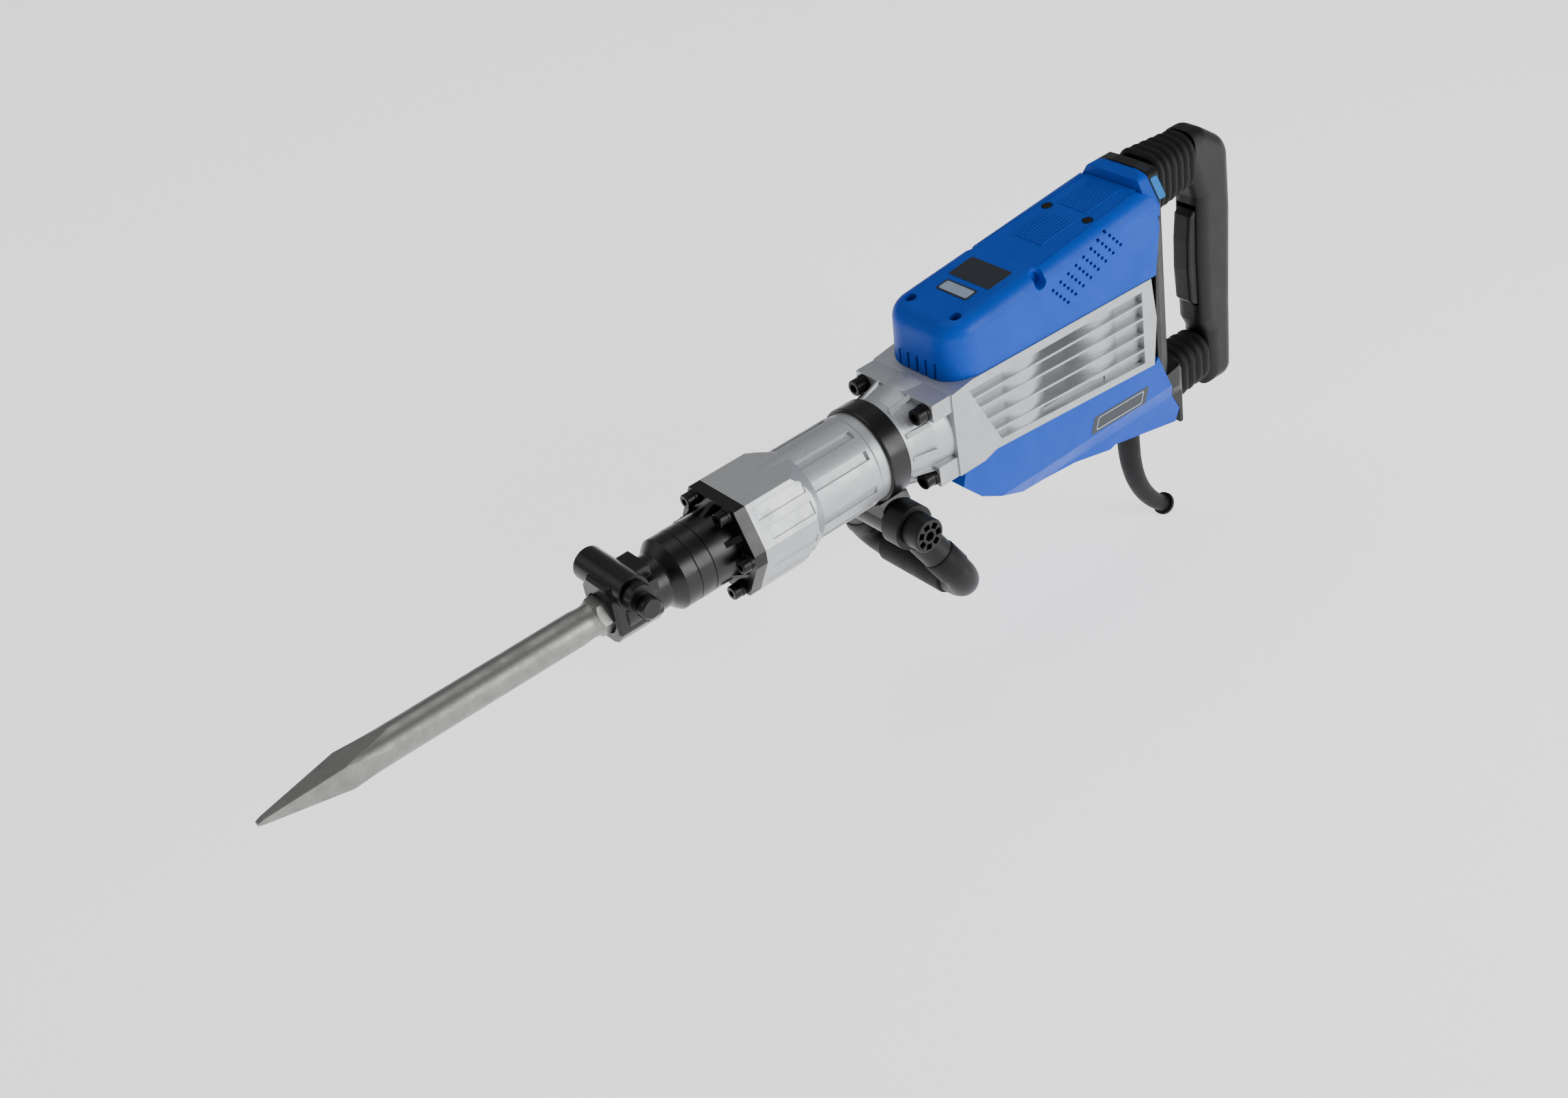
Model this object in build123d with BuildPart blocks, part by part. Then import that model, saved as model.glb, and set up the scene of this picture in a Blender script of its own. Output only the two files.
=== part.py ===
"""Electric demolition hammer: breaker body, pneumatic hammer mechanism, motor and handles.

Millimetres. X runs along the barrel from the tool holder (x = 0) back to the rear handle,
Y runs across the tool and Z is up. The chisel points to -X.
"""
from build123d import *
import os
from math import acos, cos, pi, radians, sin, tan

# ---------------------------------------------------------------- driving dimensions
# Chisel and tool holder
HEX_SHANK_AF = 30.0
SHANK_END_X = 95.0
SHAFT_R = 14.8
TIP_X = -314.6
POINT_BASE_X = -240.0
NOTCH_FLOOR_Z = 11.0
LEVER_X = 20.0
LEVER_Z = 22.0
LEVER_R = 10.5
FIT = 0.05

# Stations along the barrel
NECK_R = 24.3
NOSE_R = 32.5
NOSE_X = 66.0
PLATE_X0 = 124.0
PLATE_X1 = 136.0
BLOCK_CONE_X = 185.0
BLOCK_END_X = 203.0
RING_X0 = 280.0
RING_X1 = 301.0
FLANGE_X0 = 328.0
FLANGE_X1 = 350.0

# Hexagonal front flange and barrel
PLATE_TOP_Z = 42.8
PLATE_TOP_Y = 30.0
PLATE_SIDE_Y = 48.5
PLATE_SIDE_Z = 6.0
BOLT_CIRCLE_R = 43.0
BARREL_R = 43.2
PANEL_FLOOR_Y = 43.5
FLUTE_DEPTH = 3.0
FLUTE_WIDTH = 8.4
FRAME_DEPTH = 1.0
SEAT_R = 42.0
CASE_BORE_R = 35.0
LINER_BORE_R = 30.0
REAR_BOLT_Y = 38.9
REAR_BOLT_ZS = (36.1, -30.4)

# Crank drive and motor (vertical axes)
CRANK_X = 437.0
CRANK_THROW = 16.0
ROD_LENGTH = 121.0
MODULE_CRANK = 2.0
CRANK_TEETH = 42
LAY_PINION_TEETH = 14
MODULE_MOTOR = 1.25
LAY_GEAR_TEETH = 55
MOTOR_PINION_TEETH = 12
PRESSURE_ANGLE = radians(20)
LAY_X = CRANK_X + MODULE_CRANK * (CRANK_TEETH + LAY_PINION_TEETH) / 2
MOTOR_X = LAY_X + MODULE_MOTOR * (LAY_GEAR_TEETH + MOTOR_PINION_TEETH) / 2
STATOR_R = 40.0
ARMATURE_R = 23.0

# Housing and covers
BODY_Y = 50.0
COVER_Y = 47.5
COVER_TOP_X = 382.7
COVER_TOP_Z = 99.7
COVER_SLOPE = 5.4
ARCH_TOP_Z = 134.0
WALL = 3.0
CORD_X = 611.5

# Side handle
CLAMP_X = 290.5
HUB_Z = -60.0
HUB_R = 17.0
LOOP_X = 333.0
LOOP_Z = -143.0
LOOP_Y = 72.0
ARM_R = 15.0
EYE_R = 21.0

# Rear handle
GRIP_X0 = 704.0
GRIP_X1 = 750.0
GRIP_TOP_Z = 134.0
GRIP_LOW_Z = -146.0
WINDOW_TOP_Z = 78.0
WINDOW_LOW_Z = -86.0
GUIDE_TOP_Z = 104.0
GUIDE_LOW_Z = -112.0
TRIGGER_PIVOT_X = 710.0
TRIGGER_PIVOT_Z = 42.0


# ---------------------------------------------------------------- shared shapes
def write_piece(builder, label):
    """Label a finished piece and write its STEP file."""
    builder.part.label = label
    export_step(builder.part, f"parts/{label}.step")


def bar_x(x0, x1, radius, y=0.0, z=0.0, mode=Mode.ADD):
    """Round bar along X."""
    with BuildSketch(Plane.YZ.offset(x0)) as section:
        with Locations((y, z)):
            Circle(radius)
    extrude(section.sketch, amount=x1 - x0, mode=mode)


def bar_y(y0, y1, radius, x, z, mode=Mode.ADD):
    """Round bar along Y."""
    with BuildSketch(Plane.XZ.offset(-y1)) as section:
        with Locations((x, z)):
            Circle(radius)
    extrude(section.sketch, amount=y1 - y0, mode=mode)


def bar_z(z0, z1, radius, x, y=0.0, mode=Mode.ADD):
    """Round bar along Z."""
    with BuildSketch(Plane.XY.offset(z0)) as section:
        with Locations((x, y)):
            Circle(radius)
    extrude(section.sketch, amount=z1 - z0, mode=mode)


def slab_x(outline, x0, x1, mode=Mode.ADD):
    """Prism along X from an outline of (y, z) points."""
    with BuildSketch(Plane.YZ.offset(x0)) as section:
        with BuildLine():
            Polyline(outline, close=True)
        make_face()
    extrude(section.sketch, amount=x1 - x0, mode=mode)


def slab_y(outline, y0, y1, mode=Mode.ADD):
    """Prism along Y from an outline of (x, z) points."""
    with BuildSketch(Plane.XZ.offset(-y1)) as section:
        with BuildLine():
            Polyline(outline, close=True)
        make_face()
    extrude(section.sketch, amount=y1 - y0, mode=mode)


def slab_z(outline, z0, z1, mode=Mode.ADD):
    """Prism along Z from an outline of (x, y) points."""
    with BuildSketch(Plane.XY.offset(z0)) as section:
        with BuildLine():
            Polyline(outline, close=True)
        make_face()
    extrude(section.sketch, amount=z1 - z0, mode=mode)


def block(xs, ys, zs, mode=Mode.ADD):
    """Rectangular block between three pairs of limits."""
    slab_z([(xs[0], ys[0]), (xs[1], ys[0]), (xs[1], ys[1]), (xs[0], ys[1])], zs[0], zs[1], mode)


def turned_x(profile, mode=Mode.ADD):
    """Solid turned about the barrel axis from (x, radius) points."""
    with BuildSketch(Plane.XZ) as section:
        with BuildLine():
            Polyline(profile, close=True)
        make_face()
    revolve(section.sketch, axis=Axis.X, mode=mode)


def turned_z(x, profile, mode=Mode.ADD):
    """Solid turned about a vertical axis from (radius, z) points."""
    with BuildSketch(Plane.XZ) as section:
        with BuildLine():
            Polyline([(x + radius, z) for radius, z in profile], close=True)
        make_face()
    revolve(section.sketch, axis=Axis((x, 0, 0), (0, 0, 1)), mode=mode)


def plate_outline(grow=0.0):
    """Flattened hexagon of the front flange, as (y, z) points."""
    top_y, top_z = PLATE_TOP_Y + grow, PLATE_TOP_Z + grow
    side_y, side_z = PLATE_SIDE_Y + grow, PLATE_SIDE_Z
    quarter = [(side_y, side_z), (top_y, top_z), (-top_y, top_z), (-side_y, side_z)]
    return quarter + [(-y, -z) for y, z in quarter]


def front_bolt_places():
    """Centres of the six front bolts, as (y, z)."""
    return [(BOLT_CIRCLE_R * cos(k * pi / 3), BOLT_CIRCLE_R * sin(k * pi / 3)) for k in range(6)]


def rear_bolt_places():
    """Centres of the four barrel flange bolts, as (y, z)."""
    return [(side * REAR_BOLT_Y, z) for side in (-1, 1) for z in REAR_BOLT_ZS]


def gear_outline(teeth, module, phase, centre_x, backlash=0.14):
    """Involute gear outline as (x, y) points; a tooth stands at the phase angle."""
    pitch_r = module * teeth / 2
    base_r = pitch_r * cos(PRESSURE_ANGLE)
    tip_r = pitch_r + 0.75 * module
    root_r = pitch_r - module
    start_r = max(base_r, root_r)

    def half_angle(radius):
        roll = acos(min(1.0, base_r / radius))
        flank = tan(PRESSURE_ANGLE) - PRESSURE_ANGLE - tan(roll) + roll
        return pi / (2 * teeth) - backlash / (2 * pitch_r) + flank

    climb = [start_r + (tip_r - start_r) * step / 4 for step in range(5)]
    if root_r < start_r:
        climb.insert(0, root_r)
    points = []
    for tooth in range(teeth):
        middle = phase + 2 * pi * tooth / teeth
        for side, radii in ((-1, climb), (1, climb[::-1])):
            for radius in radii:
                angle = middle + side * half_angle(max(radius, start_r))
                points.append((centre_x + radius * cos(angle), radius * sin(angle)))
    return points


# ---------------------------------------------------------------- chisel and tool holder
def make_chisel():
    """Bull point chisel with a hexagonal shank and a retaining notch."""
    with BuildPart() as blade:
        with BuildSketch(Plane.YZ.offset(TIP_X)):
            Rectangle(4.6, 4.6)
        with BuildSketch(Plane.YZ.offset(POINT_BASE_X)):
            Rectangle(23.4, 23.4)
        with BuildSketch(Plane.YZ.offset(-188)):
            Rectangle(31, 31)
        loft(ruled=True)
        turned_x([(TIP_X, 0), (TIP_X, 2.2), (TIP_X + 5, 3.7), (POINT_BASE_X, 16.1),
                  (-222, 15.2), (-200, SHAFT_R), (-188, SHAFT_R), (-188, 0)], Mode.INTERSECT)
    with BuildPart() as chisel:
        with BuildSketch(Plane.YZ.offset(-9)):
            RegularPolygon(HEX_SHANK_AF / 2, 6, major_radius=False)
        extrude(amount=SHANK_END_X + 9)
        turned_x([(-9, 0), (-9, 14.3), (-5.5, 17.6), (91, 17.6), (SHANK_END_X, 14), (SHANK_END_X, 0)],
                 Mode.INTERSECT)
        turned_x([(-189, 0), (-189, SHAFT_R), (-24, SHAFT_R), (-14, 14.0), (-8, 14.6), (-8, 0)])
        add(blade.part)
        notch_x0 = LEVER_X - LEVER_R - 0.6
        block((notch_x0, notch_x0 + 47), (-20, 20), (NOTCH_FLOOR_Z, 20), Mode.SUBTRACT)
    write_piece(chisel, "chisel")


def make_front_cover():
    """Forged front cover: hexagonal flange, nose, neck and the retainer head."""
    with BuildPart() as head:
        slab_x([(-22.5, -14), (-11, -27), (11, -27), (22.5, -14), (22.5, 20), (15, 30),
                (-15, 30), (-22.5, 20)], 2, 46)
        fillet(head.edges().filter_by(Axis.X), 5)
        chamfer(head.faces().sort_by(Axis.X)[0].edges(), 2.5)
        bar_y(-27, 36, 15, LEVER_X, LEVER_Z + 1)
        block((30, 46), (-24, -15), (20, 32), Mode.SUBTRACT)
    with BuildPart() as front_cover:
        turned_x([(12, 0), (12, NECK_R), (58, NECK_R), (NOSE_X - 1, NOSE_R - 1.5), (NOSE_X + 1, NOSE_R),
                  (PLATE_X0, NOSE_R), (PLATE_X0, 0)])
        fillet(front_cover.edges().filter_by(GeomType.CIRCLE).group_by(Axis.X)[1], 4)
        slab_x(plate_outline(), PLATE_X0, PLATE_X1)
        bar_x(PLATE_X1, 141, CASE_BORE_R - 0.1)
        add(head.part)
        for groove_x in (80.3, 95.5):
            with BuildSketch(Plane.YZ.offset(groove_x)) as groove:
                Circle(NOSE_R + 1)
                Circle(NOSE_R - 0.7, mode=Mode.SUBTRACT)
            extrude(groove.sketch, amount=0.9, mode=Mode.SUBTRACT)
        for angle in range(0, 360, 60):
            with BuildSketch(Plane.XZ.rotated((angle, 0, 0))) as gusset:
                with BuildLine():
                    Polyline([(108, NOSE_R - 2), (PLATE_X0 + 1, 40), (PLATE_X0 + 1, NOSE_R - 2)], close=True)
                make_face()
            extrude(gusset.sketch, amount=2.5, both=True)
        bar_x(0, 5, 18.6, mode=Mode.SUBTRACT)
        bar_x(4, 104, 21, mode=Mode.SUBTRACT)
        bar_x(104, 142, 20, mode=Mode.SUBTRACT)
        bar_y(-40, 40, LEVER_R + FIT, LEVER_X, LEVER_Z, Mode.SUBTRACT)
        for y, z in front_bolt_places():
            bar_x(PLATE_X0 - 2, PLATE_X1 + 2, 4.1, y, z, Mode.SUBTRACT)
    write_piece(front_cover, "front_cover")


def make_stop_lever():
    """Retaining lever: half-round pin across the shank with an offset thumb knob."""
    with BuildPart() as stop_lever:
        bar_y(-38, 29, LEVER_R, LEVER_X, LEVER_Z)
        block((LEVER_X - 12, LEVER_X + 12), (-18.5, 18.5), (LEVER_Z + 6.4, LEVER_Z + 12), Mode.SUBTRACT)
        bar_y(-38, -28, 12.5, LEVER_X, LEVER_Z)
        bar_y(-49, -36, 9.5, LEVER_X + 1, LEVER_Z - 5)
        chamfer(stop_lever.faces().sort_by(Axis.Y)[0].edges(), 1.2)
        block((LEVER_X - 3, LEVER_X + 5), (-44, -30), (LEVER_Z - 18, LEVER_Z - 10))
    write_piece(stop_lever, "stop_lever")


def make_retainer_cap():
    """Plug that closes the far end of the lever bore."""
    with BuildPart() as retainer_cap:
        bar_y(30.5, 36, LEVER_R, LEVER_X, LEVER_Z)
        bar_y(36, 41, 12.4, LEVER_X, LEVER_Z)
        chamfer(retainer_cap.faces().sort_by(Axis.Y)[-1].edges(), 1.5)
        bar_y(38, 42, 4, LEVER_X, LEVER_Z, Mode.SUBTRACT)
    write_piece(retainer_cap, "retainer_cap")


def make_tool_sleeve():
    """Hardened bushing with the hexagonal bore that guides the shank."""
    with BuildPart() as tool_sleeve:
        bar_x(5, 104, 21)
        with BuildSketch(Plane.YZ.offset(4)) as bore:
            RegularPolygon(HEX_SHANK_AF / 2 + 0.35, 6, major_radius=False)
        extrude(bore.sketch, amount=101, mode=Mode.SUBTRACT)
        bar_x(97, 105, 18.2, mode=Mode.SUBTRACT)
        bar_y(-25, 25, LEVER_R + FIT, LEVER_X, LEVER_Z, Mode.SUBTRACT)
    write_piece(tool_sleeve, "tool_sleeve")


def make_cap_screws(label, places, head_x, head_r, head_h, shank_r, end_x, key_af):
    """Group of socket head screws along X."""
    with BuildPart() as screws:
        for y, z in places:
            bar_x(head_x, head_x + head_h, head_r, y, z)
        chamfer(screws.edges().filter_by(GeomType.CIRCLE).group_by(Axis.X)[0], 0.8)
        for y, z in places:
            bar_x(head_x + head_h, end_x, shank_r, y, z)
            with BuildSketch(Plane.YZ.offset(head_x)) as socket:
                with Locations((y, z)):
                    RegularPolygon(key_af / 2, 6, major_radius=False)
            extrude(socket.sketch, amount=head_h * 0.55, mode=Mode.SUBTRACT)
    write_piece(screws, label)


def make_washers():
    """Split spring washers of the front and rear bolts."""
    sets = ((front_bolt_places(), 120.4, 123.6, 4.3, 7.0), (rear_bolt_places(), 325.2, 327.8, 5.3, 8.2))
    with BuildPart() as washers:
        for places, x0, x1, inner_r, outer_r in sets:
            for y, z in places:
                bar_x(x0, x1, outer_r, y, z)
            for y, z in places:
                bar_x(x0 - 1, x1 + 1, inner_r, y, z, Mode.SUBTRACT)
                block((x0 - 1, x1 + 1), (y - 0.6, y + 0.6), (z, z + outer_r + 1), Mode.SUBTRACT)
    write_piece(washers, "washers")


# ---------------------------------------------------------------- barrel and hammer mechanism
def make_barrel_case():
    """Cast barrel: hexagonal front block, fluted barrel, clamp seat and rear flange."""
    with BuildPart() as front_block:
        slab_x(plate_outline(), PLATE_X1, BLOCK_END_X)
        turned_x([(PLATE_X1, 0), (PLATE_X1, 60), (BLOCK_CONE_X - 7.5, 60), (BLOCK_CONE_X - 7.5, 55.6),
                  (BLOCK_END_X, BARREL_R), (BLOCK_END_X, 0)], Mode.INTERSECT)
        for side in (-1, 1):
            for up in (-1, 1):
                for low, start in ((0.12, PLATE_X1 + 11), (0.6, PLATE_X1 + 6)):
                    y0, z0 = PLATE_SIDE_Y, PLATE_SIDE_Z
                    y1, z1 = PLATE_TOP_Y, PLATE_TOP_Z
                    a = (y0 + (y1 - y0) * low, z0 + (z1 - z0) * low)
                    b = (y0 + (y1 - y0) * (low + 0.28), z0 + (z1 - z0) * (low + 0.28))
                    normal_y, normal_z = 0.89, 0.456
                    inner = [(p[0] - FRAME_DEPTH * normal_y, p[1] - FRAME_DEPTH * normal_z) for p in (a, b)]
                    outer = [(p[0] + normal_y, p[1] + normal_z) for p in (b, a)]
                    recess = [(side * y, up * z) for y, z in inner + outer]
                    slab_x(recess, start, BLOCK_CONE_X + 8, Mode.SUBTRACT)
    with BuildPart() as barrel_case:
        turned_x([(PLATE_X1, 0), (PLATE_X1, SEAT_R), (BLOCK_END_X - 8, BARREL_R), (268, BARREL_R),
                  (270, SEAT_R), (310, SEAT_R), (FLANGE_X0 + 4, 46.5), (FLANGE_X1, 47.5), (FLANGE_X1, 0)])
        for angle in (24, 54, 98, 126, 156):
            for side in (-1, 1):
                with BuildSketch(Plane.XZ.rotated((side * angle, 0, 0))) as flute:
                    with BuildLine():
                        Polyline([(BLOCK_END_X - 12, BARREL_R - FLUTE_DEPTH), (262, BARREL_R - FLUTE_DEPTH),
                                  (265, BARREL_R + 2), (BLOCK_END_X - 12, BARREL_R + 2)], close=True)
                    make_face()
                extrude(flute.sketch, amount=FLUTE_WIDTH / 2, both=True, mode=Mode.SUBTRACT)
        add(front_block.part)
        block((FLANGE_X0, FLANGE_X1), (-48.5, 48.5), (28, 45))
        block((FLANGE_X0, FLANGE_X1), (-48.5, 48.5), (-38.5, -19))
        for angle in (25, 60, 90, 120, 155):
            for half_turn in (0, 180):
                with BuildSketch(Plane.XZ.rotated((angle + half_turn, 0, 0))) as fin:
                    with BuildLine():
                        Polyline([(306, SEAT_R - 3), (306, 42.8), (FLANGE_X0 + 1, 49.5),
                                  (FLANGE_X0 + 1, SEAT_R - 3)], close=True)
                    make_face()
                extrude(fin.sketch, amount=2.2, both=True)
        bar_x(PLATE_X1 - 1, FLANGE_X1 + 1, CASE_BORE_R, mode=Mode.SUBTRACT)
        for y, z in front_bolt_places():
            bar_x(PLATE_X1 - 1, 166, 4.0, y, z, Mode.SUBTRACT)
        for y, z in rear_bolt_places():
            bar_x(306, FLANGE_X0, 8.6, y, z, Mode.SUBTRACT)
            bar_x(FLANGE_X0 - 1, FLANGE_X1 + 1, 5.1, y, z, Mode.SUBTRACT)
    write_piece(barrel_case, "barrel_case")


def make_anvil_guide():
    """Steel guide that carries the impact bolt and backs its collar."""
    with BuildPart() as anvil_guide:
        turned_x([(141, 20.2), (141, CASE_BORE_R), (174, CASE_BORE_R), (174, 13 + FIT), (156, 13 + FIT),
                  (156, 20.2)])
    write_piece(anvil_guide, "anvil_guide")


def make_impact_bolt():
    """Impact bolt that passes each blow from the ram to the chisel."""
    with BuildPart() as impact_bolt:
        turned_x([(101.5, 0), (101.5, 12), (103, 13.5), (140, 13.5), (140, 19.4), (155, 19.4), (155.4, 13),
                  (181, 13), (183, 11.5), (183, 0)])
    write_piece(impact_bolt, "impact_bolt")


def make_damper_ring():
    """Rubber ring between the anvil guide and the cylinder liner."""
    with BuildPart() as damper_ring:
        turned_x([(174, 15), (174, CASE_BORE_R), (180, CASE_BORE_R), (180, 15)])
    write_piece(damper_ring, "damper_ring")


def make_cylinder_liner():
    """Steel liner in which ram and piston run, with a row of vent holes."""
    with BuildPart() as cylinder_liner:
        turned_x([(180, LINER_BORE_R), (180, CASE_BORE_R), (346, CASE_BORE_R), (346, LINER_BORE_R)])
        for angle in range(0, 180, 45):
            with BuildSketch(Plane.XY.rotated((angle, 0, 0))) as vent:
                with Locations((239, 0)):
                    Circle(1.6)
            extrude(vent.sketch, amount=40, both=True, mode=Mode.SUBTRACT)
    write_piece(cylinder_liner, "cylinder_liner")


def make_ram():
    """Free-flying ram with a nose and a groove for its seal."""
    with BuildPart() as ram:
        bore_fit = LINER_BORE_R - FIT
        turned_x([(187, 0), (187, 12), (189, 14), (200, 14), (204, bore_fit), (212, bore_fit), (212, 27),
                  (216, 27), (216, bore_fit), (228, bore_fit), (228, 0)])
    write_piece(ram, "ram")


def make_ring_seal(label, x0, x1, inner_r):
    """Seal ring in a groove of the ram or piston."""
    with BuildPart() as seal:
        turned_x([(x0, inner_r), (x0, LINER_BORE_R - FIT), (x1, LINER_BORE_R - FIT), (x1, inner_r)])
    write_piece(seal, label)


def make_piston():
    """Hollow piston with a seal groove behind its crown and cross holes for the pin."""
    pin_x = CRANK_X - CRANK_THROW - ROD_LENGTH
    with BuildPart() as piston:
        bore_fit = LINER_BORE_R - FIT
        turned_x([(245, 0), (245, bore_fit), (249, bore_fit), (249, 27), (253, 27), (253, bore_fit),
                  (318, bore_fit), (318, 25.5), (257, 25.5), (257, 0)])
        bar_z(-32, 32, 6, pin_x, mode=Mode.SUBTRACT)
    write_piece(piston, "piston")


def make_piston_pins():
    """Two pin stubs that carry the small end of the connecting rod."""
    pin_x = CRANK_X - CRANK_THROW - ROD_LENGTH
    with BuildPart() as piston_pins:
        bar_z(8, 29, 6, pin_x)
        bar_z(-29, -8, 6, pin_x)
    write_piece(piston_pins, "piston_pins")


def make_connecting_rod():
    """Connecting rod from the piston to the crank pin."""
    pin_x = CRANK_X - CRANK_THROW - ROD_LENGTH
    big_x = CRANK_X - CRANK_THROW
    with BuildPart() as connecting_rod:
        bar_z(-7, 7, 7.5, pin_x)
        bar_z(-7, 7, 15, big_x)
        slab_z([(pin_x, -5), (big_x, -7.5), (big_x, 7.5), (pin_x, 5)], -5, 5)
        slab_z([(pin_x + 12, -2), (big_x - 18, -4), (big_x - 18, 4), (pin_x + 12, 2)], 3, 6, Mode.SUBTRACT)
        slab_z([(pin_x + 12, -2), (big_x - 18, -4), (big_x - 18, 4), (pin_x + 12, 2)], -6, -3, Mode.SUBTRACT)
        bar_z(-8, 8, 3.2, pin_x, mode=Mode.SUBTRACT)
        bar_z(-8, 8, 10, big_x, mode=Mode.SUBTRACT)
    write_piece(connecting_rod, "connecting_rod")


def make_crankshaft():
    """Overhung crankshaft: journal, counterweighted web and crank pin."""
    with BuildPart() as crankshaft:
        bar_z(-17, -8, 30, CRANK_X)
        block((CRANK_X - 34, CRANK_X - 8), (-34, -14), (-18, -7), Mode.SUBTRACT)
        block((CRANK_X - 34, CRANK_X - 8), (14, 34), (-18, -7), Mode.SUBTRACT)
        bar_z(-8, 7.5, 10 - FIT, CRANK_X - CRANK_THROW)
        bar_z(-57.5, -17, 10, CRANK_X)
    write_piece(crankshaft, "crankshaft")


def make_bearings(label, x, seats):
    """Ball bearings on one vertical shaft: races, cage and balls for each (z0, z1, bore, outer) seat."""
    with BuildPart() as bearings:
        for z0, z1, inner_r, outer_r in seats:
            middle_r = (inner_r + outer_r) / 2
            middle_z = (z0 + z1) / 2
            race = (outer_r - inner_r) * 0.28
            turned_z(x, [(inner_r, z0), (inner_r + race, z0), (inner_r + race, z1), (inner_r, z1)])
            turned_z(x, [(outer_r - race, z0), (outer_r, z0), (outer_r, z1), (outer_r - race, z1)])
            turned_z(x, [(inner_r + race, middle_z - 1), (outer_r - race, middle_z - 1),
                         (outer_r - race, middle_z + 1), (inner_r + race, middle_z + 1)])
            with Locations((x, 0, middle_z)):
                with PolarLocations(middle_r, 8):
                    Sphere(race * 0.95)
    write_piece(bearings, label)


def make_crank_gear():
    """Large spur gear keyed to the crankshaft."""
    with BuildPart() as crank_gear:
        slab_z(gear_outline(CRANK_TEETH, MODULE_CRANK, 0.0, CRANK_X), -29, -19)
        bar_z(-30, -18, 10, CRANK_X, mode=Mode.SUBTRACT)
        with Locations((CRANK_X, 0, -29)):
            with PolarLocations(27, 6):
                Cylinder(6, 12, align=(Align.CENTER, Align.CENTER, Align.MIN), mode=Mode.SUBTRACT)
    write_piece(crank_gear, "crank_gear")


def make_layshaft():
    """Intermediate shaft cut in one piece with its pinion."""
    with BuildPart() as layshaft:
        slab_z(gear_outline(LAY_PINION_TEETH, MODULE_CRANK, pi + pi / LAY_PINION_TEETH, LAY_X), -30, -18)
        bar_z(-56, -9, 6, LAY_X)
        bar_z(-33, -29, 9, LAY_X)
    write_piece(layshaft, "layshaft")


def make_layshaft_gear():
    """First-stage gear pressed on the intermediate shaft."""
    with BuildPart() as layshaft_gear:
        slab_z(gear_outline(LAY_GEAR_TEETH, MODULE_MOTOR, 0.0, LAY_X), -44, -34)
        bar_z(-45, -33, 6, LAY_X, mode=Mode.SUBTRACT)
    write_piece(layshaft_gear, "layshaft_gear")


# ---------------------------------------------------------------- motor
def make_motor_shaft():
    """Armature shaft with the motor pinion at its lower end."""
    with BuildPart() as motor_shaft:
        phase = pi + pi / MOTOR_PINION_TEETH
        slab_z(gear_outline(MOTOR_PINION_TEETH, MODULE_MOTOR, phase, MOTOR_X), -45, -33)
        bar_z(-33, 92, 6, MOTOR_X)
        bar_z(92, 102, 5, MOTOR_X)
        bar_z(-55, -45, 4, MOTOR_X)
    write_piece(motor_shaft, "motor_shaft")


def make_armature_core():
    """Laminated armature core with winding slots."""
    with BuildPart() as armature_core:
        bar_z(10, 50, ARMATURE_R, MOTOR_X)
        with Locations((MOTOR_X, 0, 9)):
            with PolarLocations(ARMATURE_R - 3, 16):
                Box(9, 2.4, 42, align=(Align.CENTER, Align.CENTER, Align.MIN), mode=Mode.SUBTRACT)
        bar_z(9, 51, 6, MOTOR_X, mode=Mode.SUBTRACT)
    write_piece(armature_core, "armature_core")


def make_armature_windings():
    """Winding heads at both ends of the core."""
    with BuildPart() as windings:
        turned_z(MOTOR_X, [(6, 50), (20, 50), (19, 58), (12, 61), (6, 61)])
        turned_z(MOTOR_X, [(6, 10), (20, 10), (19, 5), (12, 3), (6, 3)])
    write_piece(windings, "armature_windings")


def make_commutator():
    """Commutator with mica gaps between its segments."""
    with BuildPart() as commutator:
        bar_z(63, 82, 15, MOTOR_X)
        with Locations((MOTOR_X, 0, 66)):
            with PolarLocations(15, 24):
                Box(1.6, 0.6, 17, align=(Align.CENTER, Align.CENTER, Align.MIN), mode=Mode.SUBTRACT)
        bar_z(62, 83, 6, MOTOR_X, mode=Mode.SUBTRACT)
    write_piece(commutator, "commutator")


def make_fan():
    """Cooling fan with radial blades."""
    with BuildPart() as fan:
        bar_z(-4, -2, 36, MOTOR_X)
        bar_z(-2, 2, 12, MOTOR_X)
        with Locations((MOTOR_X, 0, -2)):
            with PolarLocations(23, 14):
                Box(24, 1.6, 4.6, align=(Align.CENTER, Align.CENTER, Align.MIN))
        bar_z(-5, 3, 6, MOTOR_X, mode=Mode.SUBTRACT)
    write_piece(fan, "fan")


def make_stator():
    """Laminated stator with two pole openings for the field coils."""
    with BuildPart() as stator:
        bar_z(12, 50, STATOR_R, MOTOR_X)
        bar_z(11, 51, ARMATURE_R + 0.6, MOTOR_X, mode=Mode.SUBTRACT)
        for side in (-1, 1):
            block((MOTOR_X + side * 22 - 6, MOTOR_X + side * 22 + 6), (-26, 26), (11, 51), Mode.SUBTRACT)
    write_piece(stator, "stator")


def make_field_coils():
    """Field coils seated in the stator openings."""
    with BuildPart() as field_coils:
        for side in (-1, 1):
            block((MOTOR_X + side * 26 - 2, MOTOR_X + side * 26 + 2), (-22, 22), (8, 54))
    write_piece(field_coils, "field_coils")


def make_motor_frame():
    """Plastic end frame above the motor: bearing seat and brush mounts."""
    with BuildPart() as motor_frame:
        turned_z(MOTOR_X, [(36, 50), (40, 50), (40, 84), (36, 84)])
        turned_z(MOTOR_X, [(16, 84), (40, 84), (40, 88), (16, 88)])
        turned_z(MOTOR_X, [(13, 88), (18, 88), (18, 102), (13, 102)])
        for side in (-1, 1):
            block((MOTOR_X - 8, MOTOR_X + 8), (side * 38 - 5, side * 38 + 5), (62, 80), Mode.SUBTRACT)
    write_piece(motor_frame, "motor_frame")


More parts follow.
